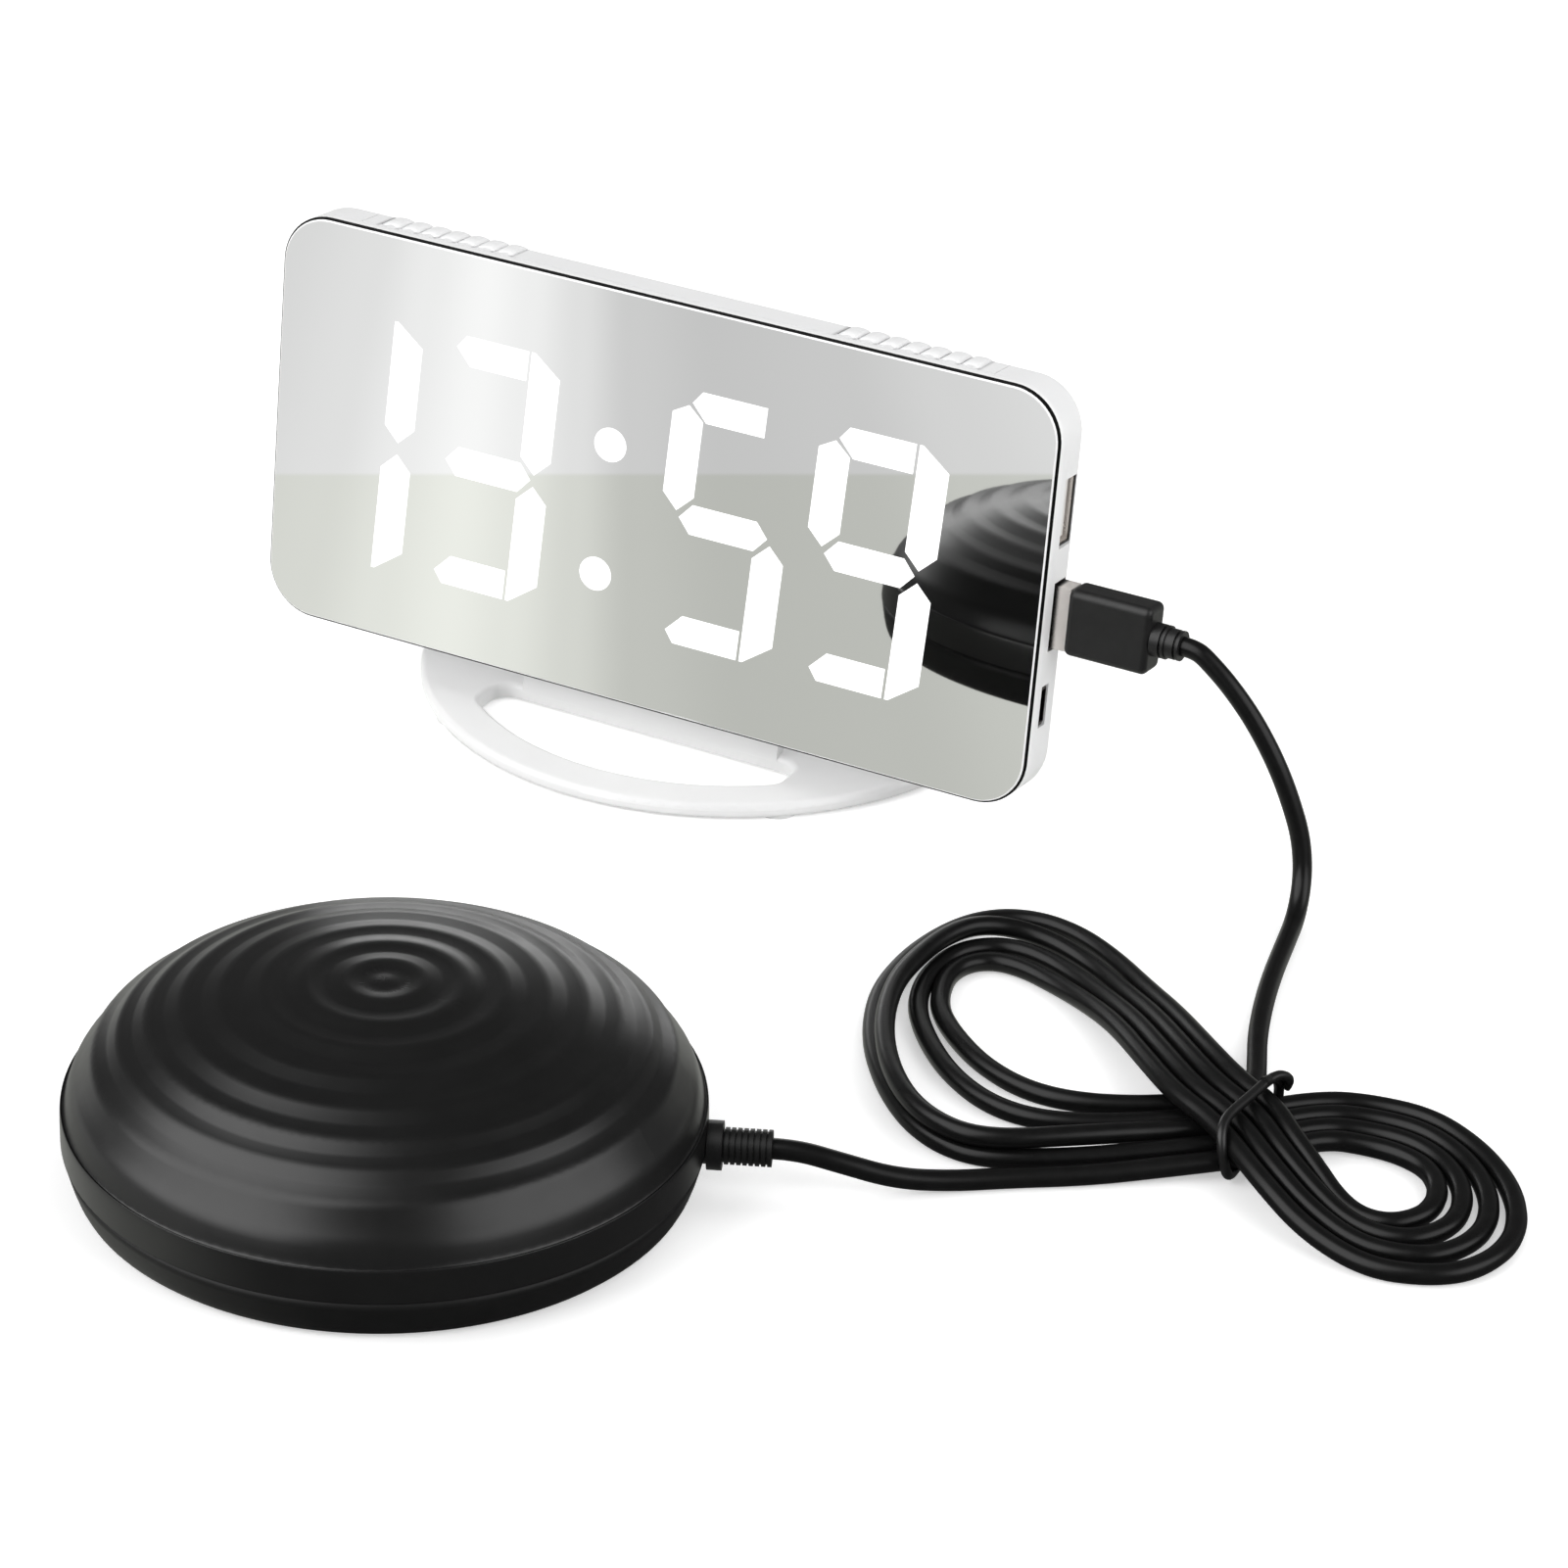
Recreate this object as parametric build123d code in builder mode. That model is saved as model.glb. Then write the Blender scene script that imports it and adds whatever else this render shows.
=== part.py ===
from build123d import *
import math
import os

# Vibrating alarm clock: a leaning mirror clock on a ring stand, with a corded bed shaker.
# The origin lies on the table, under the stand's web. +X runs along the panel, +Z is up.

os.makedirs("parts", exist_ok=True)

# Clock panel and case
panel_width = 165.0
panel_height = 81.0
panel_corner = 10.0
panel_thickness = 2.0
panel_bevel = 0.7
case_depth = 11.6
case_wall = 1.8
back_wall = 1.6
back_round = 2.6
lean_angle = 6.35
case_lift = 9.65
panel_front_y = -12.0
overrun = 5.0
seat_gap = 0.02
slide_gap = 0.1

# Digits behind the mirror
digit_half_width = 13.3
digit_half_height = 25.1
digit_middle = 40.2
digit_pitch = 30.9
pair_spacing = 81.6
display_offset = -8.8
digit_slant = 2.7
stroke_width = 6.5
bar_width = 5.8
corner_cut = 4.2
stroke_point = 3.1
segment_gap = 0.7
dot_radius = 3.25
dot_rise = 13.0
film_thickness = 0.2
lens_thickness = 1.2
grid_depth = 4.0
board_thickness = 1.2
led_size = 1.6
led_height = 0.6
inner_gap = 0.3
board_right = 66.0

# Ports on the right side
port_depth = 7.6
port_high = 57.3
port_low = 37.4
port_inset = 0.7
socket_length = 14.0
socket_width = 13.2
socket_thickness = 5.7
socket_opening_width = 12.5
socket_opening_thickness = 5.12
socket_tongue_width = 11.1
socket_tongue_thickness = 1.84
socket_tongue_setback = 1.0
socket_block_length = 3.2
port_clearance = 0.1
contact_spring_width = 2.0
contact_spring_length = 3.0
contact_spring_spacing = 6.0
contact_spring_start = 3.0
input_depth = 5.3
input_height = 20.0
input_width = 7.6
input_thickness = 2.6
input_length = 5.6
input_wall = 0.3
input_tongue_width = 3.8
input_tongue_thickness = 0.6
input_tongue_setback = 1.2
port_board_left = 67.2
port_board_bottom = 13.0
port_board_top = 67.0
post_radius = 2.0
stake_radius = 1.0

# Snooze bar along the top
bar_half_length = 67.0
bar_front = 3.2
bar_height = 3.2
bar_travel = 0.9
bar_side_gap = 0.15
channel_floor = 1.6
rib_count = 7
rib_pitch = 4.2
rib_height = 0.8
rib_middle = 49.0
rib_start = 4.0
leg_spacing = 110.0
leg_width = 6.0
leg_thickness = 2.0
leg_depth = 8.7
barb_reach = 0.8
barb_height = 1.4
plunger_spacing = 40.0
plunger_radius = 1.0
plunger_length = 5.4
plunger_depth = 8.7
switch_width = 6.0
switch_height = 3.9

# Rear buttons
button_count = 5
button_pitch = 13.0
button_height = 58.0
button_length = 8.0
button_width = 4.6
button_proud = 0.6
button_travel = 0.5
button_flange = 0.8
flange_thickness = 0.5
switch_body = 6.0
switch_depth = 1.2
stem_radius = 0.9
stem_reach = 0.3

# Coin cell and its bayonet door
cell_radius = 10.0
cell_thickness = 2.5
cell_x = -56.0
cell_height = 29.0
door_radius = 11.45
door_thickness = 1.0
door_clearance = 0.1
door_turn = 45.0
skirt_wall = 1.1
lug_reach = 1.2
lug_thickness = 0.8
lug_angle = 30.0
notch_angle = 36.0
coin_slot_length = 12.0
coin_slot_width = 1.8
coin_slot_depth = 0.6
well_wall = 1.2

# Screws that hold the light box to the case, and the buzzer
screw_shank = 1.1
screw_head = 2.3
screw_head_height = 0.9
screw_column = 63.0
screw_column_middle = -7.0
screw_low = 7.0
screw_high = 70.0
boss_radius = 2.6
buzzer_radius = 7.0
buzzer_thickness = 2.3
buzzer_x = 44.0
buzzer_height = 27.0
sound_hole = 0.8
sound_circle = 4.0
sound_count = 6

# Stand
ring_radius = 59.0
ring_centre_y = 24.3
ring_width = 8.8
plate_thickness = 3.0
plate_round = 1.2
window_half_width = 33.0
window_corner = 3.8
web_depth = 22.0
tongue_width = 56.0
tongue_thickness = 2.6
tongue_depth = 7.8
tongue_reach = 12.0
tongue_fit = 0.12
tongue_corner = 2.0
socket_wall = 1.1
gusset_spacing = 20.0
gusset_thickness = 2.0
gusset_length = 8.0
gusset_height = 3.4
pad_proud = 0.4
pad_thickness = 1.0
pad_radius = 4.0
pad_angle = 50.0
web_pad_length = 40.0
web_pad_width = 8.0

# Plug of the shaker's cord
plug_width = 12.0
plug_thickness = 4.5
plug_length = 11.75
plug_wall = 0.3
plug_shown = 3.0
plug_insulator = 1.85
grip_width = 12.9
grip_thickness = 6.8
grip_length = 16.5
grip_round = 1.5
grip_flat = 0.3
relief_step_radii = (3.15, 2.8)
relief_step_length = 2.75
relief_groove = 0.5
relief_groove_depth = 0.45

# Bed shaker
shaker_x = 39.3
shaker_y = -160.6
shaker_radius = 53.3
shaker_height = 35.7
seam_height = 8.1
base_radius = 50.0
shaker_wall = 2.2
dome_fullness = 2.34
dome_roundness = 0.43
ripple_height = 0.4
slope_share = 0.05
base_floor = 2.2
base_clear = 0.8
lip_height = 2.4
lip_wall = 1.6
lip_clearance = 0.12
base_edge = 1.5
foot_radius = 6.5
foot_circle = 40.0
foot_recess = 0.6
mount_circle = 43.0
mount_post = 3.4
mount_boss_height = 5.0
shaker_screw_head = 2.8
shaker_screw_shank = 1.4
shaker_screw_length = 9.0
head_height = 1.6
cross_width = 0.6
cross_length = 2.6
cross_depth = 0.5

# Motor and weight in the shaker
motor_radius = 12.0
motor_length = 31.0
motor_axis_height = 17.0
motor_start = -26.0
motor_nose_radius = 3.0
motor_nose_length = 2.0
motor_edge = 1.0
shaft_radius = 1.15
shaft_clearance = 0.05
shaft_sunk = 6.0
weight_radius = 11.5
weight_length = 11.0
weight_hub = 3.2
weight_gap = 1.5
cradle_width = 2.4
cradle_half_width = 11.0
cradle_spacing = 22.0
strap_width = 8.0
strap_thickness = 1.2
strap_ear = 7.0
strap_post_radius = 3.4
strap_screw_head = 2.4
strap_screw_shank = 1.2
strap_screw_length = 8.0

# Cord, its boot, its hank and the tie
cord_diameter = 3.6
boot_heading = 24.4
boot_end = 64.0
boot_neck_radius = 3.2
boot_flare_radius = 4.15
boot_flare_length = 2.5
boot_rib_radius = 3.1
boot_groove_depth = 0.35
boot_rib_count = 8
boot_flange_radius = 5.0
boot_flange_length = 1.6
boot_clearance = 0.05
boot_lead_out = 4.0
tie_diameter = 1.6
tie_inside_width = 30.0
tie_floor_gap = 0.05
tie_top = 12.8
tie_corner = 3.0
tie_tail_length = 4.5
tie_round_share = 0.4
tail_spread_share = 0.5
tail_rise_share = 0.6
bend_share = 0.45
tiny_share = 0.000001
points_per_arc = 8
gap_skip = 4

# Hank: places of the outermost and innermost loop, in (x, y), and the shares of those between
loop_count = 4
waist_x = 160.0
waist_y = -82.5
waist_pitch = 4.4
waist_lift = 0.3
layer_gap = 1.9
under_travel = 43.0
over_travel = 140.0
right_far_outer, right_far_inner = (177.5, -58.0), (184.0, -73.0)
right_end_outer, right_end_inner = (211.5, -87.5), (194.6, -83.0)
right_near_outer, right_near_inner = (189.0, -108.3), (186.5, -92.8)
left_far_outer, left_far_inner = (99.0, -32.5), (104.5, -52.4)
left_end_outer, left_end_inner = (84.0, -54.0), (99.4, -61.0)
left_near_outer, left_near_inner = (120.0, -110.3), (121.0, -83.4)
left_far_shares = (0, 0.333, 0.667, 1)
left_end_shares = (0, 0.42, 0.71, 1)
left_near_shares = (0, 0.52, 0.76, 1)
outer_rise = (130.5, -106.6)
outer_rise_travel = 33.0

lean = math.radians(lean_angle)
face_plane = Plane(
    origin=(0, panel_front_y, case_lift), x_dir=(1, 0, 0), z_dir=(0, -math.cos(lean), math.sin(lean))
)
front_axis = Axis(face_plane.origin, face_plane.z_dir)


def behind(depth):
    # Plane parallel to the panel, a given depth behind its front, in (x, height up the panel)
    return face_plane.offset(-depth)


def level(height):
    # Plane across the case at a height up the panel, in (x, depth behind the front)
    return Plane(origin=face_plane.from_local_coords((0, height, 0)), x_dir=(1, 0, 0), z_dir=face_plane.y_dir)


def side(x):
    # Plane across the case at an x, facing right, in (depth behind the front, height up the panel)
    return Plane(origin=face_plane.from_local_coords((x, 0, 0)), x_dir=-face_plane.z_dir, z_dir=(1, 0, 0))


# Depths behind the front of the panel, from front to back
film_front = panel_thickness
grid_front = film_front + film_thickness
board_front = grid_front + grid_depth
board_back = board_front + board_thickness
inner_back = case_depth - back_wall
half_width = panel_width / 2
inner_half_width = half_width - case_wall
channel_bottom = panel_height - bar_height - bar_travel
ceiling = channel_bottom - channel_floor
grid_bottom = case_wall + inner_gap
grid_top = ceiling - inner_gap

# Mirror panel
with BuildPart() as mirror_panel:
    with BuildSketch(behind(panel_thickness)):
        with Locations((0, panel_height / 2)):
            RectangleRounded(panel_width, panel_height, panel_corner)
    extrude(amount=panel_thickness)
    chamfer(mirror_panel.faces().sort_by(front_axis)[-1].edges(), panel_bevel)

# Outlines of the seven strokes of a digit, about the digit's centre
inner_x = digit_half_width - stroke_width
inner_y = digit_half_height - bar_width
half_bar = bar_width / 2
tip_x = digit_half_width - stroke_width / 2
stroke_foot = half_bar + segment_gap + segment_gap
stroke_tip = stroke_foot - stroke_point

right_upper = [
    (inner_x, digit_half_height),
    (inner_x + segment_gap, digit_half_height),
    (digit_half_width, digit_half_height - corner_cut),
    (digit_half_width, stroke_foot),
    (tip_x, stroke_tip),
    (inner_x, stroke_foot),
]
left_upper = [
    (-inner_x, inner_y),
    (-tip_x, digit_half_height - stroke_point),
    (-digit_half_width, digit_half_height - corner_cut - segment_gap),
    (-digit_half_width, stroke_foot),
    (-tip_x, stroke_tip),
    (-inner_x, stroke_foot),
]
top_bar = [
    (segment_gap - inner_x, inner_y),
    (inner_x - segment_gap, inner_y),
    (inner_x - segment_gap, digit_half_height),
    (-inner_x - segment_gap, digit_half_height),
    (segment_gap - tip_x, digit_half_height - stroke_point + segment_gap),
]
middle_bar = [
    (segment_gap - tip_x, 0),
    (-inner_x, half_bar),
    (inner_x, half_bar),
    (tip_x - segment_gap, 0),
    (inner_x, -half_bar),
    (-inner_x, -half_bar),
]


def flipped(outline):
    return [(x, -y) for x, y in outline]


strokes = [
    top_bar, right_upper, flipped(right_upper), flipped(top_bar),
    flipped(left_upper), left_upper, middle_bar,
]
digit_centres = [
    display_offset + pair * pair_spacing / 2 + within * digit_pitch / 2
    for pair in (-1, 1)
    for within in (-1, 1)
]
slant = math.tan(math.radians(digit_slant))

with BuildSketch() as windows:
    for centre in digit_centres:
        for outline in strokes:
            with BuildLine():
                Polyline(*[(centre + x + slant * y, digit_middle + y) for x, y in outline], close=True)
            make_face()
    with Locations(*[(display_offset + slant * y, digit_middle + y) for y in (-dot_rise, dot_rise)]):
        Circle(dot_radius)

screw_places = [
    (screw_column_middle + across * screw_column, height)
    for across in (-1, 1)
    for height in (screw_low, screw_high)
]


def inner_area(right):
    # The case's inner outline below the snooze channel, as far right as given
    with Locations((0, panel_height / 2)):
        RectangleRounded(
            2 * (inner_half_width - inner_gap), panel_height - 2 * grid_bottom, panel_corner - case_wall
        )
    with Locations(((right - half_width) / 2, grid_top / 2)):
        Rectangle(right + half_width, grid_top, mode=Mode.INTERSECT)


# Dark film behind the mirror
with BuildPart() as mask_film:
    with BuildSketch(behind(film_front)):
        inner_area(half_width)
        add(windows.sketch, mode=Mode.SUBTRACT)
    extrude(amount=-film_thickness)

# White grid behind the film, with the bosses that the case screws go into
with BuildPart() as light_box:
    with BuildSketch(behind(grid_front)):
        inner_area(board_right)
        add(windows.sketch, mode=Mode.SUBTRACT)
    extrude(amount=-grid_depth)
    with BuildSketch(behind(board_front)):
        with Locations(*screw_places):
            Circle(boss_radius)
    extrude(amount=-(inner_back - board_front))
    with BuildSketch(behind(inner_back)):
        with Locations(*screw_places):
            Circle(screw_shank)
    extrude(amount=inner_back - board_front, mode=Mode.SUBTRACT)

# Diffusers in the grid's windows
with BuildPart() as segment_lenses:
    with BuildSketch(behind(grid_front)):
        add(windows.sketch)
    extrude(amount=-lens_thickness)

# Stand socket in the case, and the tongue that fills it
tongue_back = tongue_depth + tongue_thickness
socket_front = tongue_depth - tongue_fit - socket_wall
socket_half = tongue_width / 2 + tongue_fit + socket_wall
socket_top = tongue_reach + tongue_fit + socket_wall

# Display board, notched round the stand socket and the bosses
with BuildPart() as display_board:
    with BuildSketch(behind(board_front)):
        inner_area(board_right)
        with Locations((0, socket_top / 2)):
            Rectangle(2 * (socket_half + inner_gap), socket_top + 2 * inner_gap, mode=Mode.SUBTRACT)
        with Locations(*screw_places):
            Circle(boss_radius + slide_gap, mode=Mode.SUBTRACT)
    extrude(amount=-board_thickness)

# One light chip behind each window
with BuildPart() as segment_leds:
    with BuildSketch(behind(board_front)):
        with Locations(*[(face.center().X, face.center().Y) for face in windows.sketch.faces()]):
            Rectangle(led_size, led_size)
    extrude(amount=led_height)

# Rear buttons, their switches and the depths between them
button_places = [
    ((index - (button_count - 1) / 2) * button_pitch, button_height) for index in range(button_count)
]
switch_back = board_back + switch_depth
flange_back = inner_back - seat_gap
flange_front = flange_back - flange_thickness
stem_end = switch_back - stem_reach
stem_hole = stem_reach + button_travel + slide_gap

with BuildPart() as button_switches:
    with BuildSketch(behind(board_back)):
        with Locations(*button_places):
            Rectangle(switch_body, switch_body)
    extrude(amount=-switch_depth)
    with BuildSketch(behind(switch_back)):
        with Locations(*button_places):
            Circle(stem_radius + shaft_clearance)
    extrude(amount=stem_hole, mode=Mode.SUBTRACT)

buttons = []
for place in button_places:
    with BuildPart() as button:
        with BuildSketch(behind(flange_back)):
            with Locations(place):
                SlotOverall(button_length, button_width)
        extrude(amount=-(case_depth + button_proud - flange_back))
        with BuildSketch(behind(flange_front)):
            with Locations(place):
                SlotOverall(button_length + 2 * button_flange, button_width + 2 * button_flange)
        extrude(amount=-flange_thickness)
        with BuildSketch(behind(stem_end)):
            with Locations(place):
                Circle(stem_radius)
        extrude(amount=-(flange_front - stem_end))
        fillet(button.faces().sort_by(front_axis)[0].edges(), button_proud / 2)
    buttons.append(button)

# Snooze bar: ribbed on top, rounded at the back like the case, with two legs and two posts
bar_bottom = panel_height - bar_height
barb_top = ceiling - seat_gap
post_end = bar_bottom - plunger_length
leg_places = [(across * leg_spacing / 2, leg_depth) for across in (-1, 1)]
plunger_places = [(across * plunger_spacing / 2, plunger_depth) for across in (-1, 1)]
rib_valley = panel_height - rib_height
rib_crest = panel_height - seat_gap

with BuildPart() as snooze_bar:
    with BuildSketch(behind(bar_front)):
        with Locations((0, panel_height - bar_height / 2)):
            Rectangle(2 * bar_half_length, bar_height)
    extrude(amount=-(case_depth - bar_front))
    back_edges = snooze_bar.edges().filter_by(Axis.X).sort_by(front_axis)[:2]
    fillet(back_edges.sort_by(Axis.Z)[-1], back_round)
    with BuildSketch(behind(rib_start)):
        for across in (-1, 1):
            left = across * rib_middle - rib_count * rib_pitch / 2
            with BuildLine():
                for index in range(rib_count):
                    start = left + index * rib_pitch
                    ThreePointArc(
                        (start, rib_valley),
                        (start + rib_pitch / 2, rib_crest),
                        (start + rib_pitch, rib_valley),
                    )
                Polyline(
                    (left + rib_count * rib_pitch, rib_valley),
                    (left + rib_count * rib_pitch, panel_height + overrun),
                    (left, panel_height + overrun),
                    (left, rib_valley),
                )
            make_face()
    extrude(amount=-case_depth, mode=Mode.SUBTRACT)
    with BuildSketch(level(bar_bottom)):
        with Locations(*leg_places):
            Rectangle(leg_width, leg_thickness)
    extrude(amount=-(bar_bottom - barb_top + barb_height))
    with BuildSketch(level(barb_top)):
        with Locations(*leg_places):
            Rectangle(leg_width + 2 * barb_reach, leg_thickness)
    extrude(amount=-barb_height)
    with BuildSketch(level(bar_bottom)):
        with Locations(*plunger_places):
            Circle(plunger_radius)
    extrude(amount=-plunger_length)

with BuildPart() as snooze_switches:
    switch_top = post_end + stem_reach + slide_gap
    with BuildSketch(behind(board_back)):
        with Locations(*[(x, switch_top - switch_height / 2) for x, depth in plunger_places]):
            Rectangle(switch_width, switch_height)
    extrude(amount=-(inner_back - inner_gap - board_back))
    with BuildSketch(level(switch_top)):
        with Locations(*plunger_places):
            Circle(plunger_radius + shaft_clearance)
    extrude(amount=-(stem_reach + bar_travel + 2 * slide_gap), mode=Mode.SUBTRACT)

# Coin cell, its contact and the bayonet door
cell_place = (cell_x, cell_height)
contact_thickness = inner_gap
cell_front = board_back + contact_thickness
door_back = case_depth - slide_gap
door_front = door_back - door_thickness
lug_back = inner_back - seat_gap
lug_front = lug_back - lug_thickness
skirt_radius = door_radius - skirt_wall
lug_radius = door_radius + lug_reach
lug_width = 2 * door_radius * math.sin(math.radians(lug_angle / 2))
notch_width = 2 * door_radius * math.sin(math.radians(notch_angle / 2))

with BuildPart() as coin_cell:
    with BuildSketch(behind(cell_front)):
        with Locations(cell_place):
            Circle(cell_radius)
    extrude(amount=-cell_thickness)

with BuildPart() as cell_contact:
    with BuildSketch(behind(board_back)):
        with Locations(cell_place):
            Circle(cell_radius / 2)
    extrude(amount=-contact_thickness)

with BuildPart() as battery_door:
    with BuildSketch(behind(lug_front)):
        with Locations(cell_place):
            Circle(door_radius)
            Circle(skirt_radius, mode=Mode.SUBTRACT)
    extrude(amount=-(door_back - lug_front))
    with BuildSketch(behind(door_front)):
        with Locations(cell_place):
            Circle(door_radius)
    extrude(amount=-door_thickness)
    with BuildSketch(behind(lug_front)):
        with Locations(cell_place):
            Rectangle(2 * lug_radius, lug_width)
            Circle(lug_radius, mode=Mode.INTERSECT)
            Circle(door_radius - skirt_wall / 2, mode=Mode.SUBTRACT)
    extrude(amount=-lug_thickness)
    with BuildSketch(behind(door_back)):
        with Locations(cell_place):
            SlotOverall(coin_slot_length, coin_slot_width)
    extrude(amount=coin_slot_depth, mode=Mode.SUBTRACT)

# Buzzer on the board
buzzer_place = (buzzer_x, buzzer_height)
with BuildPart() as buzzer:
    with BuildSketch(behind(board_back)):
        with Locations(buzzer_place):
            Circle(buzzer_radius)
    extrude(amount=-buzzer_thickness)
    with BuildSketch(behind(board_back + buzzer_thickness)):
        with Locations(buzzer_place):
            Circle(sound_hole)
    extrude(amount=buzzer_thickness / 2, mode=Mode.SUBTRACT)

# Ports: the metal sockets, their tongues and the small board that carries them
mouth_x = half_width - port_inset
socket_end_x = mouth_x - socket_length
socket_half_thickness = socket_thickness / 2
opening_half = socket_opening_thickness / 2
spring_height = (socket_opening_thickness - plug_thickness) / 2 - seat_gap
tongue_gap = (plug_thickness / 2 - plug_wall) + (plug_thickness / 2 - plug_wall) - plug_insulator
tongue_offset = plug_thickness / 2 - plug_wall - tongue_gap / 2


def make_socket(height):
    # Metal shell with four springs, and the insulator with its tongue
    with BuildPart() as shell:
        with BuildSketch(side(mouth_x)):
            with Locations((port_depth, height)):
                Rectangle(socket_thickness, socket_width)
                Rectangle(socket_opening_thickness, socket_opening_width, mode=Mode.SUBTRACT)
        extrude(amount=-socket_length)
        with BuildSketch(side(mouth_x - contact_spring_start)):
            for across in (-1, 1):
                for up in (-1, 1):
                    with Locations((
                        port_depth + across * (opening_half - spring_height / 2),
                        height + up * contact_spring_spacing / 2,
                    )):
                        Rectangle(spring_height, contact_spring_width)
        extrude(amount=-contact_spring_length)
    with BuildPart() as tongue:
        with BuildSketch(side(socket_end_x)):
            with Locations((port_depth, height)):
                Rectangle(socket_opening_thickness, socket_opening_width)
        extrude(amount=socket_block_length)
        with BuildSketch(side(socket_end_x)):
            with Locations((port_depth + tongue_offset, height)):
                Rectangle(socket_tongue_thickness, socket_tongue_width)
        extrude(amount=socket_length - socket_tongue_setback)
    return shell, tongue


usb_socket_top, usb_tongue_top = make_socket(port_high)
usb_socket_low, usb_tongue_low = make_socket(port_low)

input_mouth_x = half_width - input_wall
input_end_x = input_mouth_x - input_length
with BuildPart() as power_socket:
    with BuildSketch(side(input_mouth_x)):
        with Locations((input_depth, input_height)):
            Rectangle(input_thickness, input_width)
    extrude(amount=-input_length)
    chamfer(power_socket.edges().filter_by(Axis.X).sort_by(front_axis)[:2], input_thickness / 4)
    with BuildSketch(side(input_mouth_x)):
        with Locations((input_depth, input_height)):
            Rectangle(
                input_thickness - 2 * input_wall, input_width - 2 * input_wall - input_thickness / 4
            )
    extrude(amount=-(input_length - input_wall), mode=Mode.SUBTRACT)

with BuildPart() as power_tongue:
    with BuildSketch(side(input_end_x + input_wall)):
        with Locations((input_depth, input_height)):
            Rectangle(input_tongue_thickness, input_tongue_width)
    extrude(amount=input_length - input_wall - input_tongue_setback)

port_board_back = port_depth - socket_half_thickness
port_board_front = port_board_back - board_thickness
stake_front = port_board_front - inner_gap
port_board_right = inner_half_width - inner_gap
between_sockets = (port_high + port_low) / 2
below_sockets = (port_low - socket_width / 2 + input_height + input_width / 2) / 2
post_x = (port_board_left + socket_end_x + socket_length / 2) / 2
post_places = [(post_x, between_sockets), (post_x, below_sockets)]

with BuildPart() as port_board:
    with BuildSketch(behind(port_board_front)):
        with Locations((
            (port_board_left + port_board_right) / 2, (port_board_bottom + port_board_top) / 2
        )):
            Rectangle(port_board_right - port_board_left, port_board_top - port_board_bottom)
        with Locations(((input_end_x + half_width) / 2, input_height)):
            Rectangle(half_width - input_end_x, input_width + 2 * seat_gap, mode=Mode.SUBTRACT)
        with Locations(*post_places):
            Circle(stake_radius + seat_gap, mode=Mode.SUBTRACT)
    extrude(amount=-board_thickness)

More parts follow.
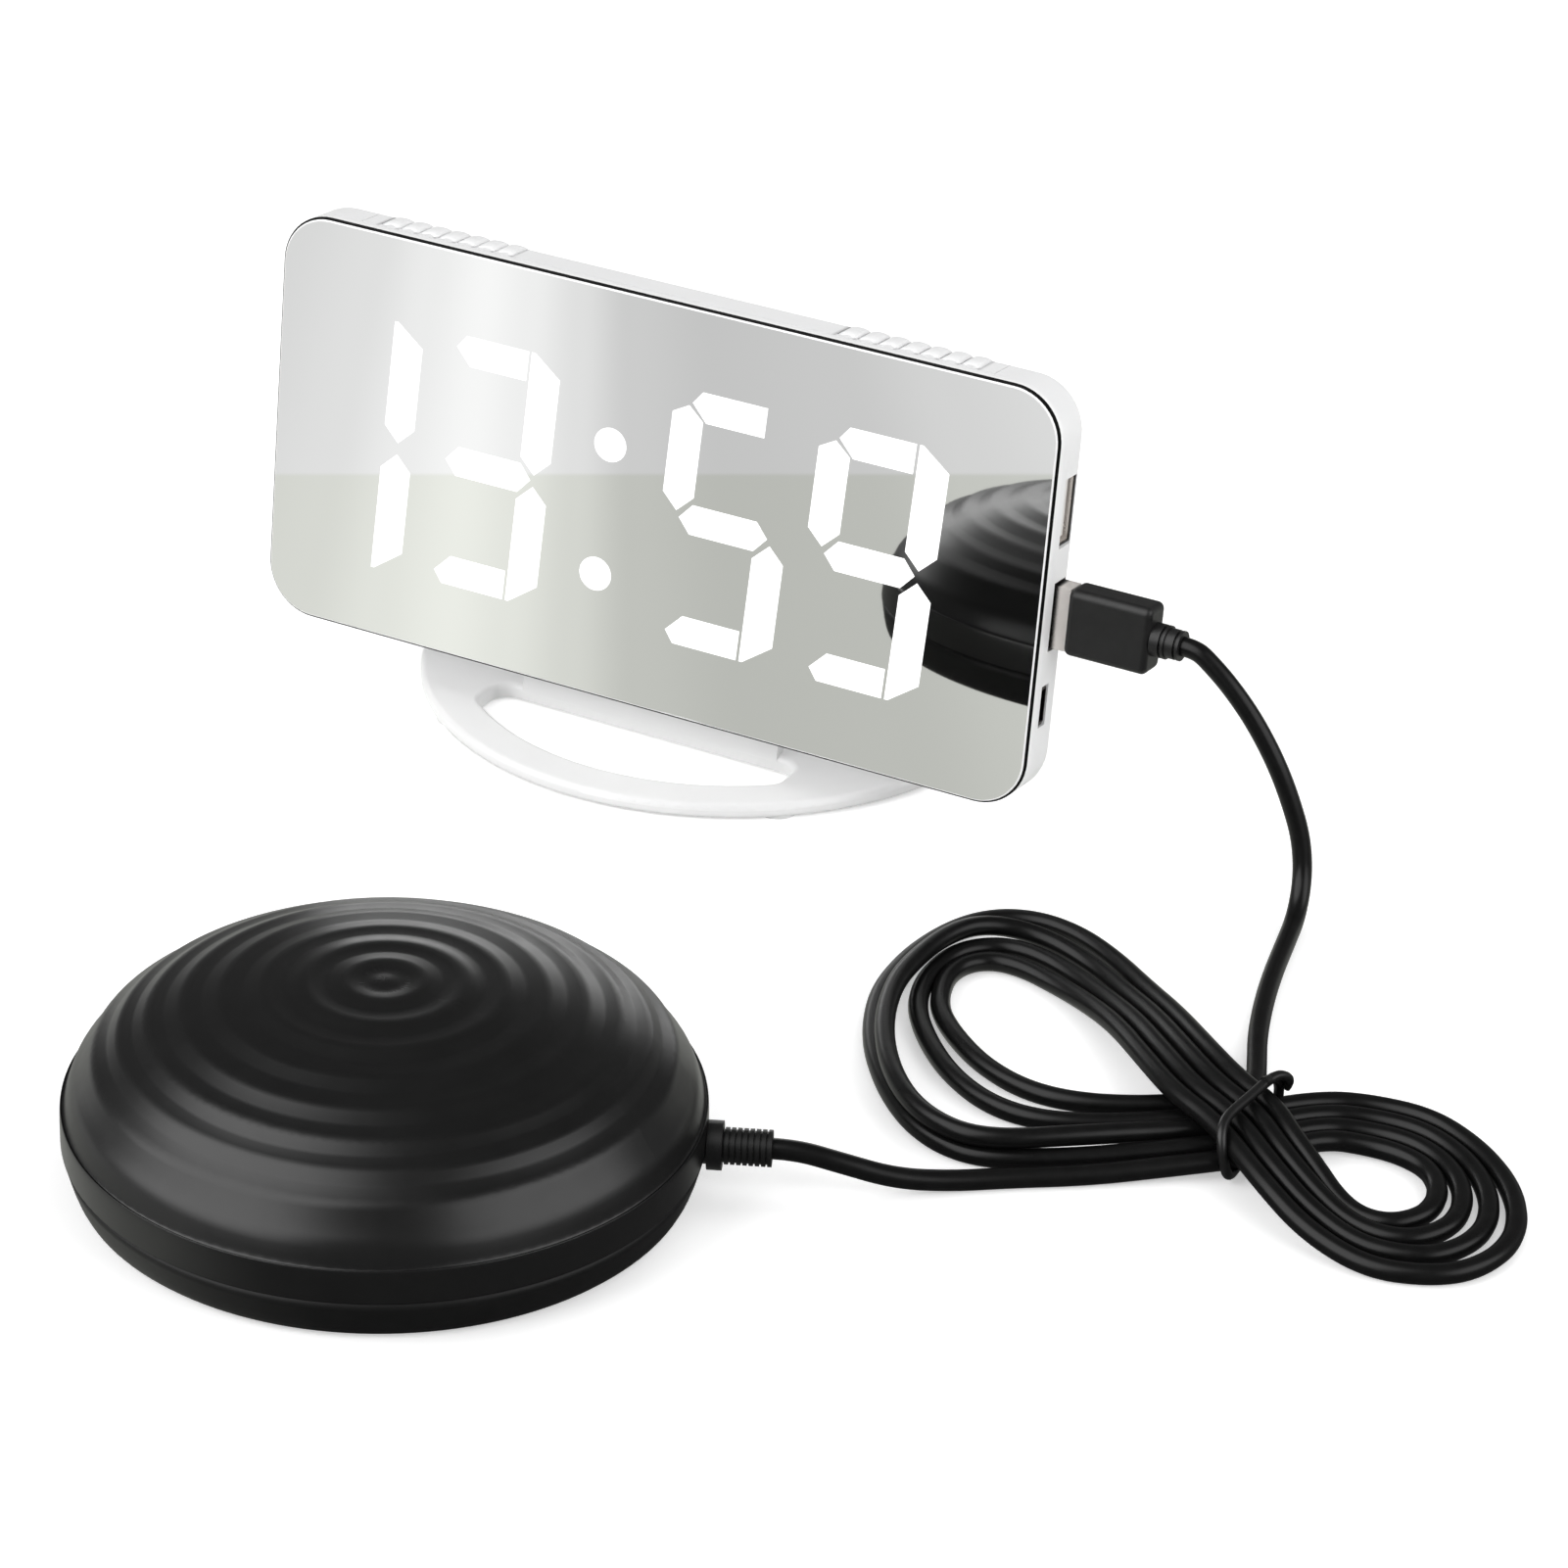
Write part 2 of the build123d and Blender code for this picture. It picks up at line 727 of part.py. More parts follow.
# Back housing of the clock
inner_depth = inner_back - panel_thickness
well_radius = lug_radius + inner_gap
with BuildPart() as case_shell:
    with BuildSketch(behind(panel_thickness)):
        with Locations((0, panel_height / 2)):
            RectangleRounded(panel_width, panel_height, panel_corner)
    extrude(amount=-(case_depth - panel_thickness))
    fillet(case_shell.faces().sort_by(front_axis)[0].edges(), back_round)
    with BuildSketch(behind(panel_thickness)):
        with Locations((0, panel_height / 2)):
            RectangleRounded(
                2 * inner_half_width, panel_height - 2 * case_wall, panel_corner - case_wall
            )
    extrude(amount=-inner_depth, mode=Mode.SUBTRACT)

    # Channel for the snooze bar, with the slots for its legs and posts
    channel_half = bar_half_length + bar_side_gap
    with BuildSketch(behind(panel_thickness)):
        with Locations((0, (ceiling + panel_height - case_wall) / 2)):
            Rectangle(2 * (channel_half + case_wall), panel_height - case_wall - ceiling)
    extrude(amount=-inner_depth)
    with BuildSketch(behind(bar_front - bar_side_gap)):
        with Locations((0, channel_bottom + overrun)):
            Rectangle(2 * channel_half, 2 * overrun)
    extrude(amount=-case_depth, mode=Mode.SUBTRACT)
    with BuildSketch(level(channel_bottom)):
        with Locations(*leg_places):
            Rectangle(leg_width + 2 * slide_gap, leg_thickness + 2 * slide_gap)
        with Locations(*plunger_places):
            Circle(plunger_radius + slide_gap)
    extrude(amount=-channel_floor, mode=Mode.SUBTRACT)

    # Socket for the stand's tongue
    with BuildSketch(behind(socket_front)):
        with Locations((0, socket_top / 2)):
            Rectangle(2 * socket_half, socket_top)
    extrude(amount=-(inner_back - socket_front))
    with BuildSketch(level(-overrun)):
        with Locations((0, (tongue_depth + tongue_back) / 2)):
            Rectangle(tongue_width + 2 * tongue_fit, tongue_thickness + 2 * tongue_fit)
    extrude(amount=overrun + tongue_reach + tongue_fit, mode=Mode.SUBTRACT)

    # Port holes in the right side, which run in as pockets for the sockets
    with BuildSketch(side(half_width + overrun)):
        with Locations((port_depth, port_high), (port_depth, port_low)):
            Rectangle(socket_thickness + 2 * port_clearance, socket_width + 2 * port_clearance)
    extrude(amount=-(overrun + port_inset + socket_length + port_clearance), mode=Mode.SUBTRACT)
    with BuildSketch(side(half_width + overrun)):
        with Locations((input_depth, input_height)):
            RectangleRounded(
                input_thickness + 2 * port_clearance, input_width + 2 * input_wall, port_clearance
            )
    extrude(amount=-(overrun + case_wall + port_clearance), mode=Mode.SUBTRACT)

    # Posts that carry the port board
    with BuildSketch(behind(port_board_back)):
        with Locations(*post_places):
            Circle(post_radius)
    extrude(amount=-(inner_back - port_board_back))
    with BuildSketch(behind(stake_front)):
        with Locations(*post_places):
            Circle(stake_radius)
    extrude(amount=-(port_board_back - stake_front))

    # Well round the coin cell, and the hole of its door with two notches
    with BuildSketch(behind(board_back + inner_gap)):
        with Locations(cell_place):
            Circle(well_radius + well_wall)
            Circle(well_radius, mode=Mode.SUBTRACT)
    extrude(amount=-(inner_back - board_back - inner_gap))
    with BuildSketch(behind(inner_back)):
        with Locations(cell_place):
            Rectangle(2 * well_radius, notch_width, rotation=door_turn)
            Circle(well_radius - slide_gap, mode=Mode.INTERSECT)
            Circle(door_radius + door_clearance)
    extrude(amount=-back_wall - overrun, mode=Mode.SUBTRACT)

    # Holes for the buttons, the screws and the buzzer
    with BuildSketch(behind(inner_back)):
        with Locations(*button_places):
            SlotOverall(button_length + 2 * slide_gap, button_width + 2 * slide_gap)
        with Locations(*screw_places):
            Circle(screw_shank + slide_gap)
        with Locations(buzzer_place):
            with PolarLocations(sound_circle, sound_count):
                Circle(sound_hole)
            Circle(sound_hole)
    extrude(amount=-back_wall - overrun, mode=Mode.SUBTRACT)
    with BuildSketch(behind(case_depth)):
        with Locations(*screw_places):
            Circle(screw_head + slide_gap)
    extrude(amount=screw_head_height, mode=Mode.SUBTRACT)

# Screws from the back of the case into the light box
with BuildPart() as case_screws:
    with BuildSketch(behind(case_depth)):
        with Locations(*screw_places):
            Circle(screw_head)
    extrude(amount=screw_head_height)
    with BuildSketch(behind(case_depth - screw_head_height)):
        with Locations(*screw_places):
            Circle(screw_shank)
    extrude(amount=case_depth - screw_head_height - board_front)
    with BuildSketch(behind(case_depth)):
        with Locations(*screw_places):
            Rectangle(cross_length, cross_width)
            Rectangle(cross_width, cross_length)
    extrude(amount=cross_depth, mode=Mode.SUBTRACT)

# Stand: a ring plate with a web, and the tongue that rises from the web's front edge
plate_top = pad_proud + plate_thickness
tongue_root = (plate_top - case_lift) / math.cos(lean)
tongue_foot = face_plane.from_local_coords((0, tongue_root, -tongue_depth))
web_front_y = tongue_foot.Y
web_back_y = web_front_y + web_depth
window_radius = ring_radius - ring_width
pad_circle = ring_radius - ring_width / 2


def stand_window(near_y, far_y):
    # A D-shaped window inside the ring, between two y values
    with BuildSketch() as window:
        with Locations((0, ring_centre_y)):
            Circle(window_radius)
        with Locations((0, (near_y + far_y) / 2)):
            Rectangle(2 * window_half_width, far_y - near_y, mode=Mode.INTERSECT)
        fillet(window.vertices(), window_corner)
    return window.sketch


with BuildPart() as stand_base:
    with BuildSketch(Plane.XY.offset(pad_proud)):
        with Locations((0, ring_centre_y)):
            Circle(ring_radius)
        add(stand_window(ring_centre_y - ring_radius, web_front_y), mode=Mode.SUBTRACT)
        add(stand_window(web_back_y, ring_centre_y + ring_radius), mode=Mode.SUBTRACT)
    extrude(amount=plate_thickness)
    fillet(stand_base.faces().sort_by(Axis.Z)[-1].edges(), plate_round)
    outer_side = stand_base.faces().filter_by(GeomType.CYLINDER).sort_by(SortBy.AREA)[-1]
    fillet(outer_side.edges().filter_by(GeomType.CIRCLE).sort_by(Axis.Z)[0], plate_round)
    with BuildSketch(behind(tongue_depth)):
        with Locations((0, (tongue_root + tongue_reach) / 2)):
            blade = Rectangle(tongue_width, tongue_reach - tongue_root)
        fillet(blade.vertices().group_by(Axis.Y)[-1], tongue_corner)
    extrude(amount=-tongue_thickness)
    for across in (-1, 0, 1):
        with BuildSketch(Plane.YZ.offset(across * gusset_spacing - gusset_thickness / 2)):
            foot_y = web_front_y + tongue_thickness
            with BuildLine():
                Polyline(
                    (foot_y, plate_top - plate_round),
                    (foot_y + gusset_length, plate_top - plate_round),
                    (foot_y + gusset_length, plate_top),
                    (foot_y, plate_top + gusset_height),
                    close=True,
                )
            make_face()
        extrude(amount=gusset_thickness)
    with BuildSketch(Plane.XY.offset(pad_proud)):
        with Locations((0, ring_centre_y)):
            for angle in (pad_angle, 180 - pad_angle, 180 + pad_angle, -pad_angle):
                with PolarLocations(pad_circle, 1, start_angle=angle):
                    Circle(pad_radius)
        SlotOverall(web_pad_length, web_pad_width)
    extrude(amount=pad_thickness - pad_proud, mode=Mode.SUBTRACT)

with BuildPart() as stand_pads:
    with BuildSketch():
        with Locations((0, ring_centre_y)):
            for angle in (pad_angle, 180 - pad_angle, 180 + pad_angle, -pad_angle):
                with PolarLocations(pad_circle, 1, start_angle=angle):
                    Circle(pad_radius)
        SlotOverall(web_pad_length, web_pad_width)
    extrude(amount=pad_thickness)

# Plug of the shaker's cord, in the lower of the two sockets
grip_x = half_width + plug_shown
inner_plug = plug_thickness - 2 * plug_wall
inner_plug_width = plug_width - 2 * plug_wall
with BuildPart() as plug_shell:
    with BuildSketch(side(grip_x)):
        with Locations((port_depth, port_low)):
            Rectangle(plug_thickness, plug_width)
            Rectangle(inner_plug, inner_plug_width, mode=Mode.SUBTRACT)
    extrude(amount=-plug_length)

with BuildPart() as plug_tongue:
    with BuildSketch(side(grip_x)):
        with Locations((port_depth - (inner_plug - plug_insulator) / 2, port_low)):
            Rectangle(plug_insulator, inner_plug_width)
    extrude(amount=-(plug_length - plug_wall))
    with BuildSketch(side(grip_x)):
        with Locations((port_depth, port_low)):
            Rectangle(inner_plug, inner_plug_width)
    extrude(amount=-plug_shown)

with BuildPart() as plug_grip:
    with BuildSketch(side(grip_x)):
        with Locations((port_depth, port_low)):
            RectangleRounded(grip_thickness, grip_width, grip_round)
    extrude(amount=grip_length)
    fillet(plug_grip.faces().filter_by(Axis.X).edges(), grip_round - grip_flat)
    relief_x = grip_x + grip_length
    for radius in relief_step_radii:
        with BuildSketch(side(relief_x)):
            with Locations((port_depth, port_low)):
                Circle(radius)
        extrude(amount=relief_step_length)
        with BuildSketch(side(relief_x + relief_step_length - relief_groove)):
            with Locations((port_depth, port_low)):
                Circle(radius)
                Circle(radius - relief_groove_depth, mode=Mode.SUBTRACT)
        extrude(amount=-relief_groove, mode=Mode.SUBTRACT)
        relief_x += relief_step_length

# Bed shaker: planes through its centre
shaker_plane = Plane(origin=(shaker_x, shaker_y, 0), x_dir=(1, 0, 0), z_dir=(0, -1, 0))
shaker_axis = Axis((shaker_x, shaker_y, 0), (0, 0, 1))
dome_height = shaker_height - seam_height
# Radii of the valleys between the ripples and, past them, points on the smooth rim
valley_shares = (0.06, 0.185, 0.31, 0.435, 0.565, 0.68, 0.775, 0.855, 0.93)
rim_shares = (0.965, 0.988)


def dome_rise(share):
    # Height of the smooth dome above the seam, as a share of its full height
    return (1 - share**dome_fullness) ** dome_roundness


def dome_point(share, lift):
    # A point of the dome's outline, lifted square to it
    step = min(share, 1 - share) * slope_share
    fall = dome_height * (dome_rise(share + step) - dome_rise(share - step))
    run = shaker_radius * 2 * step
    length = math.hypot(fall, run)
    return (
        share * shaker_radius - lift * fall / length,
        seam_height + dome_height * dome_rise(share) + lift * run / length,
    )


def dome_shape(drop):
    # A smooth dome drawn in from the outer one by a drop
    radius = shaker_radius - drop
    height = dome_height - drop
    with BuildPart() as shape:
        with BuildSketch(shaker_plane):
            with BuildLine():
                Spline(
                    (0, seam_height + height),
                    *[
                        (share * radius, seam_height + height * dome_rise(share))
                        for share in smooth_shares
                    ],
                    (radius, seam_height),
                    tangents=[(1, 0), (0, -1)],
                )
                Polyline((radius, seam_height), (0, seam_height), (0, seam_height + height))
            make_face()
        revolve(axis=shaker_axis)
    return shape.part


smooth_shares = (0.3, 0.55, 0.75, 0.88, 0.96)
ripple_points = []
for inner, outer in zip(valley_shares, valley_shares[1:]):
    ripple_points.append(dome_point(inner, -ripple_height / 2))
    ripple_points.append(dome_point((inner + outer) / 2, ripple_height / 2))
ripple_points.append(dome_point(valley_shares[-1], -ripple_height / 2))
ripple_points += [dome_point(share, 0) for share in rim_shares]

floor_top = base_clear + base_floor
base_inner = base_radius - shaker_wall
heading = math.radians(boot_heading)
boot_direction = Vector(math.cos(heading), math.sin(heading), 0)
boot_origin = Vector(shaker_x, shaker_y, seam_height)
boot_plane = Plane(origin=boot_origin, x_dir=boot_direction, z_dir=(math.sin(heading), -math.cos(heading), 0))
boot_axis = Axis(boot_origin, boot_direction)


def round_places(radius, count, first_angle):
    # Places on a circle about the shaker's centre
    angles = [math.radians(first_angle + index * 360 / count) for index in range(count)]
    return [(shaker_x + radius * math.cos(a), shaker_y + radius * math.sin(a)) for a in angles]


shaker_screw_places = round_places(mount_circle, 4, 45)
foot_places = round_places(foot_circle, 4, 0)


boot_start = base_inner - shaker_wall
boot_end_cut = shaker_radius + shaker_wall
dome_core = dome_shape(shaker_wall / 2)
with BuildPart() as boot_bore:
    with BuildSketch(Plane(origin=boot_origin + boot_direction * boot_start, z_dir=boot_direction)):
        Circle(boot_neck_radius + boot_clearance)
    extrude(amount=boot_end_cut - boot_start)
with BuildPart() as dome_posts:
    with BuildSketch(Plane.XY.offset(mount_boss_height)):
        with Locations(*shaker_screw_places):
            Circle(mount_post)
    extrude(amount=shaker_height)
    with BuildSketch(Plane.XY.offset(mount_boss_height)):
        with Locations((shaker_x, shaker_y)):
            Circle(shaker_radius)
    post_zone = extrude(amount=seam_height - mount_boss_height, mode=Mode.PRIVATE)
    add(dome_core + post_zone, mode=Mode.INTERSECT)

# Rippled upper shell of the shaker
with BuildPart() as shaker_dome:
    with BuildSketch(shaker_plane):
        with BuildLine():
            Spline(
                (0, shaker_height),
                *ripple_points,
                (shaker_radius, seam_height),
                tangents=[(1, 0), (0, -1)],
            )
            Polyline((shaker_radius, seam_height), (0, seam_height), (0, shaker_height))
        make_face()
    revolve(axis=shaker_axis)
    add(dome_shape(shaker_wall), mode=Mode.SUBTRACT)
    add(dome_posts.part)
    with BuildSketch(Plane.XY.offset(mount_boss_height)):
        with Locations(*shaker_screw_places):
            Circle(shaker_screw_shank)
    extrude(amount=shaker_screw_length, mode=Mode.SUBTRACT)
    add(boot_bore.part, mode=Mode.SUBTRACT)

# Lower shell of the shaker: floor, tapered side, lip, bosses, motor cradles and strap posts
lip_outer = shaker_radius - shaker_wall - lip_clearance
motor_middle_x = shaker_x + motor_start + motor_length / 2
strap_foot = motor_axis_height - motor_radius / 2
strap_ear_middle = motor_radius + strap_thickness + strap_ear / 2
strap_places = [(motor_middle_x, shaker_y + across * strap_ear_middle) for across in (-1, 1)]
with BuildPart() as shaker_base:
    with BuildSketch(shaker_plane):
        with BuildLine():
            Polyline(
                (0, base_clear),
                (base_radius - base_edge, base_clear),
                (base_radius, base_clear + base_edge),
                (shaker_radius, seam_height),
                (lip_outer, seam_height),
                (lip_outer, seam_height + lip_height),
                (lip_outer - lip_wall, seam_height + lip_height),
                (lip_outer - lip_wall, seam_height),
                (base_inner, seam_height),
                (base_inner, floor_top),
                (0, floor_top),
                close=True,
            )
        make_face()
    revolve(axis=shaker_axis)
    with BuildSketch(Plane.XY.offset(floor_top)):
        with Locations(*shaker_screw_places):
            Circle(mount_post)
    extrude(amount=mount_boss_height - floor_top)
    with BuildSketch(Plane.XY.offset(floor_top)):
        with Locations(*strap_places):
            Circle(strap_post_radius)
    extrude(amount=strap_foot - floor_top)
    with BuildSketch(Plane.XY.offset(floor_top)):
        with Locations(*[(motor_middle_x + across * cradle_spacing / 2, shaker_y) for across in (-1, 1)]):
            Rectangle(cradle_width, 2 * cradle_half_width)
    extrude(amount=motor_axis_height - motor_radius / 2 - floor_top)
    with BuildSketch(Plane.YZ.offset(shaker_x + motor_start - cradle_width)):
        with Locations((shaker_y, motor_axis_height)):
            Circle(motor_radius)
    extrude(amount=motor_length + 2 * cradle_width, mode=Mode.SUBTRACT)
    with BuildSketch(Plane.XY.offset(base_clear)):
        with Locations(*shaker_screw_places):
            Circle(shaker_screw_shank + slide_gap)
    extrude(amount=mount_boss_height, mode=Mode.SUBTRACT)
    with BuildSketch(Plane.XY.offset(base_clear)):
        with Locations(*shaker_screw_places):
            Circle(shaker_screw_head + slide_gap)
    extrude(amount=head_height, mode=Mode.SUBTRACT)
    with BuildSketch(Plane.XY.offset(base_clear)):
        with Locations(*foot_places):
            Circle(foot_radius)
    extrude(amount=foot_recess, mode=Mode.SUBTRACT)
    with BuildSketch(Plane.XY.offset(strap_foot)):
        with Locations(*strap_places):
            Circle(strap_screw_shank)
    extrude(amount=-(strap_screw_length - strap_thickness), mode=Mode.SUBTRACT)
    add(boot_bore.part, mode=Mode.SUBTRACT)

with BuildPart() as shaker_pads:
    with BuildSketch():
        with Locations(*foot_places):
            Circle(foot_radius)
    extrude(amount=base_clear + foot_recess)


def make_screws(places, seat, up, head_radius, shank_radius, shank_length):
    # Cross-head screws at some places: the head seats at a height, the shank points up or down
    with BuildPart() as screws:
        with BuildSketch(Plane.XY.offset(seat)):
            with Locations(*places):
                Circle(head_radius)
        extrude(amount=-up * head_height)
        with BuildSketch(Plane.XY.offset(seat)):
            with Locations(*places):
                Circle(shank_radius)
        extrude(amount=up * shank_length)
        with BuildSketch(Plane.XY.offset(seat - up * head_height)):
            with Locations(*places):
                Rectangle(cross_length, cross_width)
                Rectangle(cross_width, cross_length)
        extrude(amount=up * cross_depth, mode=Mode.SUBTRACT)
    return screws


shaker_screws = make_screws(
    shaker_screw_places, base_clear + head_height, 1, shaker_screw_head, shaker_screw_shank,
    shaker_screw_length,
)
strap_screws = make_screws(
    strap_places, strap_foot + strap_thickness, -1, strap_screw_head, strap_screw_shank,
    strap_screw_length,
)

# Motor, its strap, its shaft and the weight on it
motor_x = shaker_x + motor_start
nose_x = motor_x + motor_length
weight_x = nose_x + motor_nose_length + weight_gap
motor_place = (shaker_y, motor_axis_height)


def across_shaker(x):
    # Plane across the motor's axis, in (y, z)
    return Plane.YZ.offset(x)


with BuildPart() as motor_can:
    with BuildSketch(across_shaker(motor_x)):
        with Locations(motor_place):
            Circle(motor_radius)
    extrude(amount=motor_length)
    fillet(motor_can.edges().filter_by(GeomType.CIRCLE), motor_edge)
    with BuildSketch(across_shaker(nose_x)):
        with Locations(motor_place):
            Circle(motor_nose_radius)
    extrude(amount=motor_nose_length)
    with BuildSketch(across_shaker(nose_x + motor_nose_length)):
        with Locations(motor_place):
            Circle(shaft_radius + shaft_clearance)
    extrude(amount=-shaft_sunk, mode=Mode.SUBTRACT)

with BuildPart() as motor_shaft:
    with BuildSketch(across_shaker(nose_x + motor_nose_length - shaft_sunk + slide_gap)):
        with Locations(motor_place):
            Circle(shaft_radius)
    extrude(amount=shaft_sunk - slide_gap + weight_gap + weight_length)

with BuildPart() as eccentric_weight:
    with BuildSketch(across_shaker(weight_x)):
        with Locations(motor_place):
            Circle(weight_radius)
        with Locations((shaker_y, motor_axis_height - weight_radius / 2)):
            Rectangle(2 * weight_radius, weight_radius, mode=Mode.INTERSECT)
        with Locations(motor_place):
            Circle(weight_hub)
            Circle(shaft_radius, mode=Mode.SUBTRACT)
    extrude(amount=weight_length)

with BuildPart() as motor_strap:
    with BuildSketch(across_shaker(motor_middle_x - strap_width / 2)):
        with Locations(motor_place):
            Circle(motor_radius + strap_thickness)
        with Locations((shaker_y, motor_axis_height + motor_radius)):
            Rectangle(4 * motor_radius, 2 * motor_radius, mode=Mode.INTERSECT)
        with Locations((shaker_y, (motor_axis_height + strap_foot) / 2)):
            Rectangle(2 * (motor_radius + strap_thickness), motor_axis_height - strap_foot)
        with Locations((shaker_y, strap_foot + strap_thickness / 2)):
            Rectangle(2 * (motor_radius + strap_thickness + strap_ear), strap_thickness)
        with Locations(motor_place):
            Circle(motor_radius, mode=Mode.SUBTRACT)
        with Locations((shaker_y, motor_axis_height - motor_radius)):
            Rectangle(2 * motor_radius, 2 * motor_radius, mode=Mode.SUBTRACT)
    extrude(amount=strap_width)
    with BuildSketch(Plane.XY.offset(strap_foot)):
        with Locations(*strap_places):
            Circle(strap_screw_shank)
    extrude(amount=strap_thickness, mode=Mode.SUBTRACT)

# Ribbed boot where the cord leaves the shaker
neck_start = math.sqrt(base_inner**2 - boot_flange_radius**2) - seat_gap
flare_start = shaker_radius + seat_gap
rib_start_radius = flare_start + boot_flare_length
boot_rib_pitch = (boot_end - rib_start_radius) / boot_rib_count
boot_outline = [
    (neck_start - boot_flange_length, 0),
    (neck_start - boot_flange_length, boot_flange_radius),
    (neck_start, boot_flange_radius),
    (neck_start, boot_neck_radius),
    (flare_start, boot_neck_radius),
    (flare_start, boot_flare_radius),
    (rib_start_radius, boot_flare_radius),
]
for index in range(boot_rib_count):
    groove = rib_start_radius + index * boot_rib_pitch
    boot_outline += [
        (groove, boot_rib_radius - boot_groove_depth),
        (groove + boot_rib_pitch / 3, boot_rib_radius - boot_groove_depth),
        (groove + boot_rib_pitch / 3, boot_rib_radius),
        (groove + boot_rib_pitch, boot_rib_radius),
    ]
boot_outline.append((boot_end, 0))
with BuildPart() as cord_boot:
    with BuildSketch(boot_plane):
        with BuildLine():
            Polyline(*boot_outline, close=True)
        make_face()
    revolve(axis=boot_axis)


def heading_vector(degrees):
    # Level direction at an angle from +X
    return Vector(math.cos(math.radians(degrees)), math.sin(math.radians(degrees)), 0)


# Cord: the route of each free stretch is a list of points, from the exit to the hank
cord_radius = cord_diameter / 2
plug_exit = side(relief_x).from_local_coords((port_depth, port_low, 0))
boot_exit = boot_origin + boot_direction * boot_end
hank_start = (139.0, -108.3, cord_radius)
hank_start_heading = 30.0
hank_end = (153.0, -61.5, cord_radius)
hank_end_heading = 110.0
hank_entry = Vector(*hank_start) - heading_vector(hank_start_heading) * cord_diameter
hank_exit = Vector(*hank_end) + heading_vector(hank_end_heading) * cord_diameter
plug_lead_points = [
    plug_exit,
    (112.0, plug_exit.Y, plug_exit.Z),
    (116.6, -0.3, 44.2),
    (121.4, -0.4, 40.0),
    (127.8, -0.6, 31.8),
    (133.4, -1.2, 22.6),
    (136.2, -3.6, 11.6),
    (137.6, -11.8, 3.9),
    (140.4, -23.6, 1.9),
    (145.6, -40.2, cord_radius),
    (149.6, -52.0, cord_radius),
    hank_exit,
]
shaker_lead_points = [
    boot_exit,
    boot_exit + boot_direction * boot_lead_out,
    (107.4, -130.4, 6.6),
    (115.6, -125.3, 3.4),
    (123.6, -119.6, 1.9),
    (130.4, -113.6, cord_radius),
    hank_entry,
]


def bend_radii(points):
    # Each bend is as large as its two runs allow
    corners = [Vector(point) for point in points]
    radii = []
    for before, corner, after in zip(corners, corners[1:], corners[2:]):
        run_in, run_out = corner - before, after - corner
        half_turn = math.radians(run_in.get_angle(run_out) / 2)
        radii.append(bend_share * min(run_in.length, run_out.length) / math.tan(half_turn))
    return radii


def report_tube(name, part, length):
    # The volume should equal the section times the length
    expected = math.pi * cord_radius**2 * length
    print(name, "length", round(length, 1), "volume over section times length", round(part.volume / expected, 4))


def make_lead(name, points):
    # A free stretch of cord: straight runs joined by tangent arcs
    radii = bend_radii(points)
    print(name, "radii", [round(radius, 1) for radius in radii])
    with BuildPart() as lead:
        with BuildLine() as route:
            FilletPolyline(*points, radius=radii)
        with BuildSketch(Plane(origin=route.line @ 0, z_dir=route.line % 0)):
            Circle(cord_radius)
        sweep(path=route.line)
    report_tube(name, lead.part, route.wire().length)
    return lead


plug_lead = make_lead("plug_lead", plug_lead_points)
shaker_lead = make_lead("shaker_lead", shaker_lead_points)

# Hank: a figure eight of loops, drawn in at the waist, where the diagonals cross over
low_z = cord_radius
under_z = cord_radius + tie_diameter + waist_lift
over_z = under_z + cord_diameter + layer_gap


def waist_node(step, travel, z):
    # A place on the waist, a number of steps to the left of the travel through it
    offset_direction = heading_vector(travel + 90)
    middle = Vector(waist_x, waist_y, z)
    return middle + offset_direction * (step * waist_pitch), travel


def loop_node(outer, inner, share, travel):
    # A place on a loop, a share of the way from the outermost to the innermost
    start, end = Vector(*outer, low_z), Vector(*inner, low_z)
    return start + (end - start) * share, travel


hank_nodes = [(Vector(hank_start), hank_start_heading)]
for index in range(loop_count):
    hank_nodes.append(waist_node(index - loop_count / 2, under_travel, under_z))
    right_share = 1 - index / (loop_count - 1)
    hank_nodes.append(loop_node(right_far_outer, right_far_inner, right_share, 0))
    hank_nodes.append(loop_node(right_end_outer, right_end_inner, right_share, -90))
    hank_nodes.append(loop_node(right_near_outer, right_near_inner, right_share, 180))
    hank_nodes.append(waist_node((loop_count - 1) / 2 - index, over_travel - 180, over_z))
    hank_nodes[-1] = (hank_nodes[-1][0], over_travel)
    hank_nodes.append(loop_node(left_far_outer, left_far_inner, left_far_shares[index], 180))
    hank_nodes.append(loop_node(left_end_outer, left_end_inner, left_end_shares[index], 270))
    hank_nodes.append(loop_node(left_near_outer, left_near_inner, left_near_shares[index], 0))
    if index == 0:
        hank_nodes.append((Vector(*outer_rise, low_z), outer_rise_travel))
hank_nodes.append(waist_node(loop_count / 2, under_travel, under_z))
hank_nodes.append((Vector(hank_end), hank_end_heading))


def biarc(start, start_travel, end, end_travel):
    # Joint of the two arcs that leave and reach two places along their headings
    first, last = heading_vector(start_travel), heading_vector(end_travel)
    chord, both = end - start, first + last
    spread = 2 * (1 - first.dot(last))
    along = chord.dot(both)
    if spread < tiny_share:
        reach = chord.dot(chord) / (4 * chord.dot(last))
    else:
        reach = (math.sqrt(along**2 + spread * chord.dot(chord)) - along) / spread
    return (start + first * reach + end - last * reach) * (1 / 2)


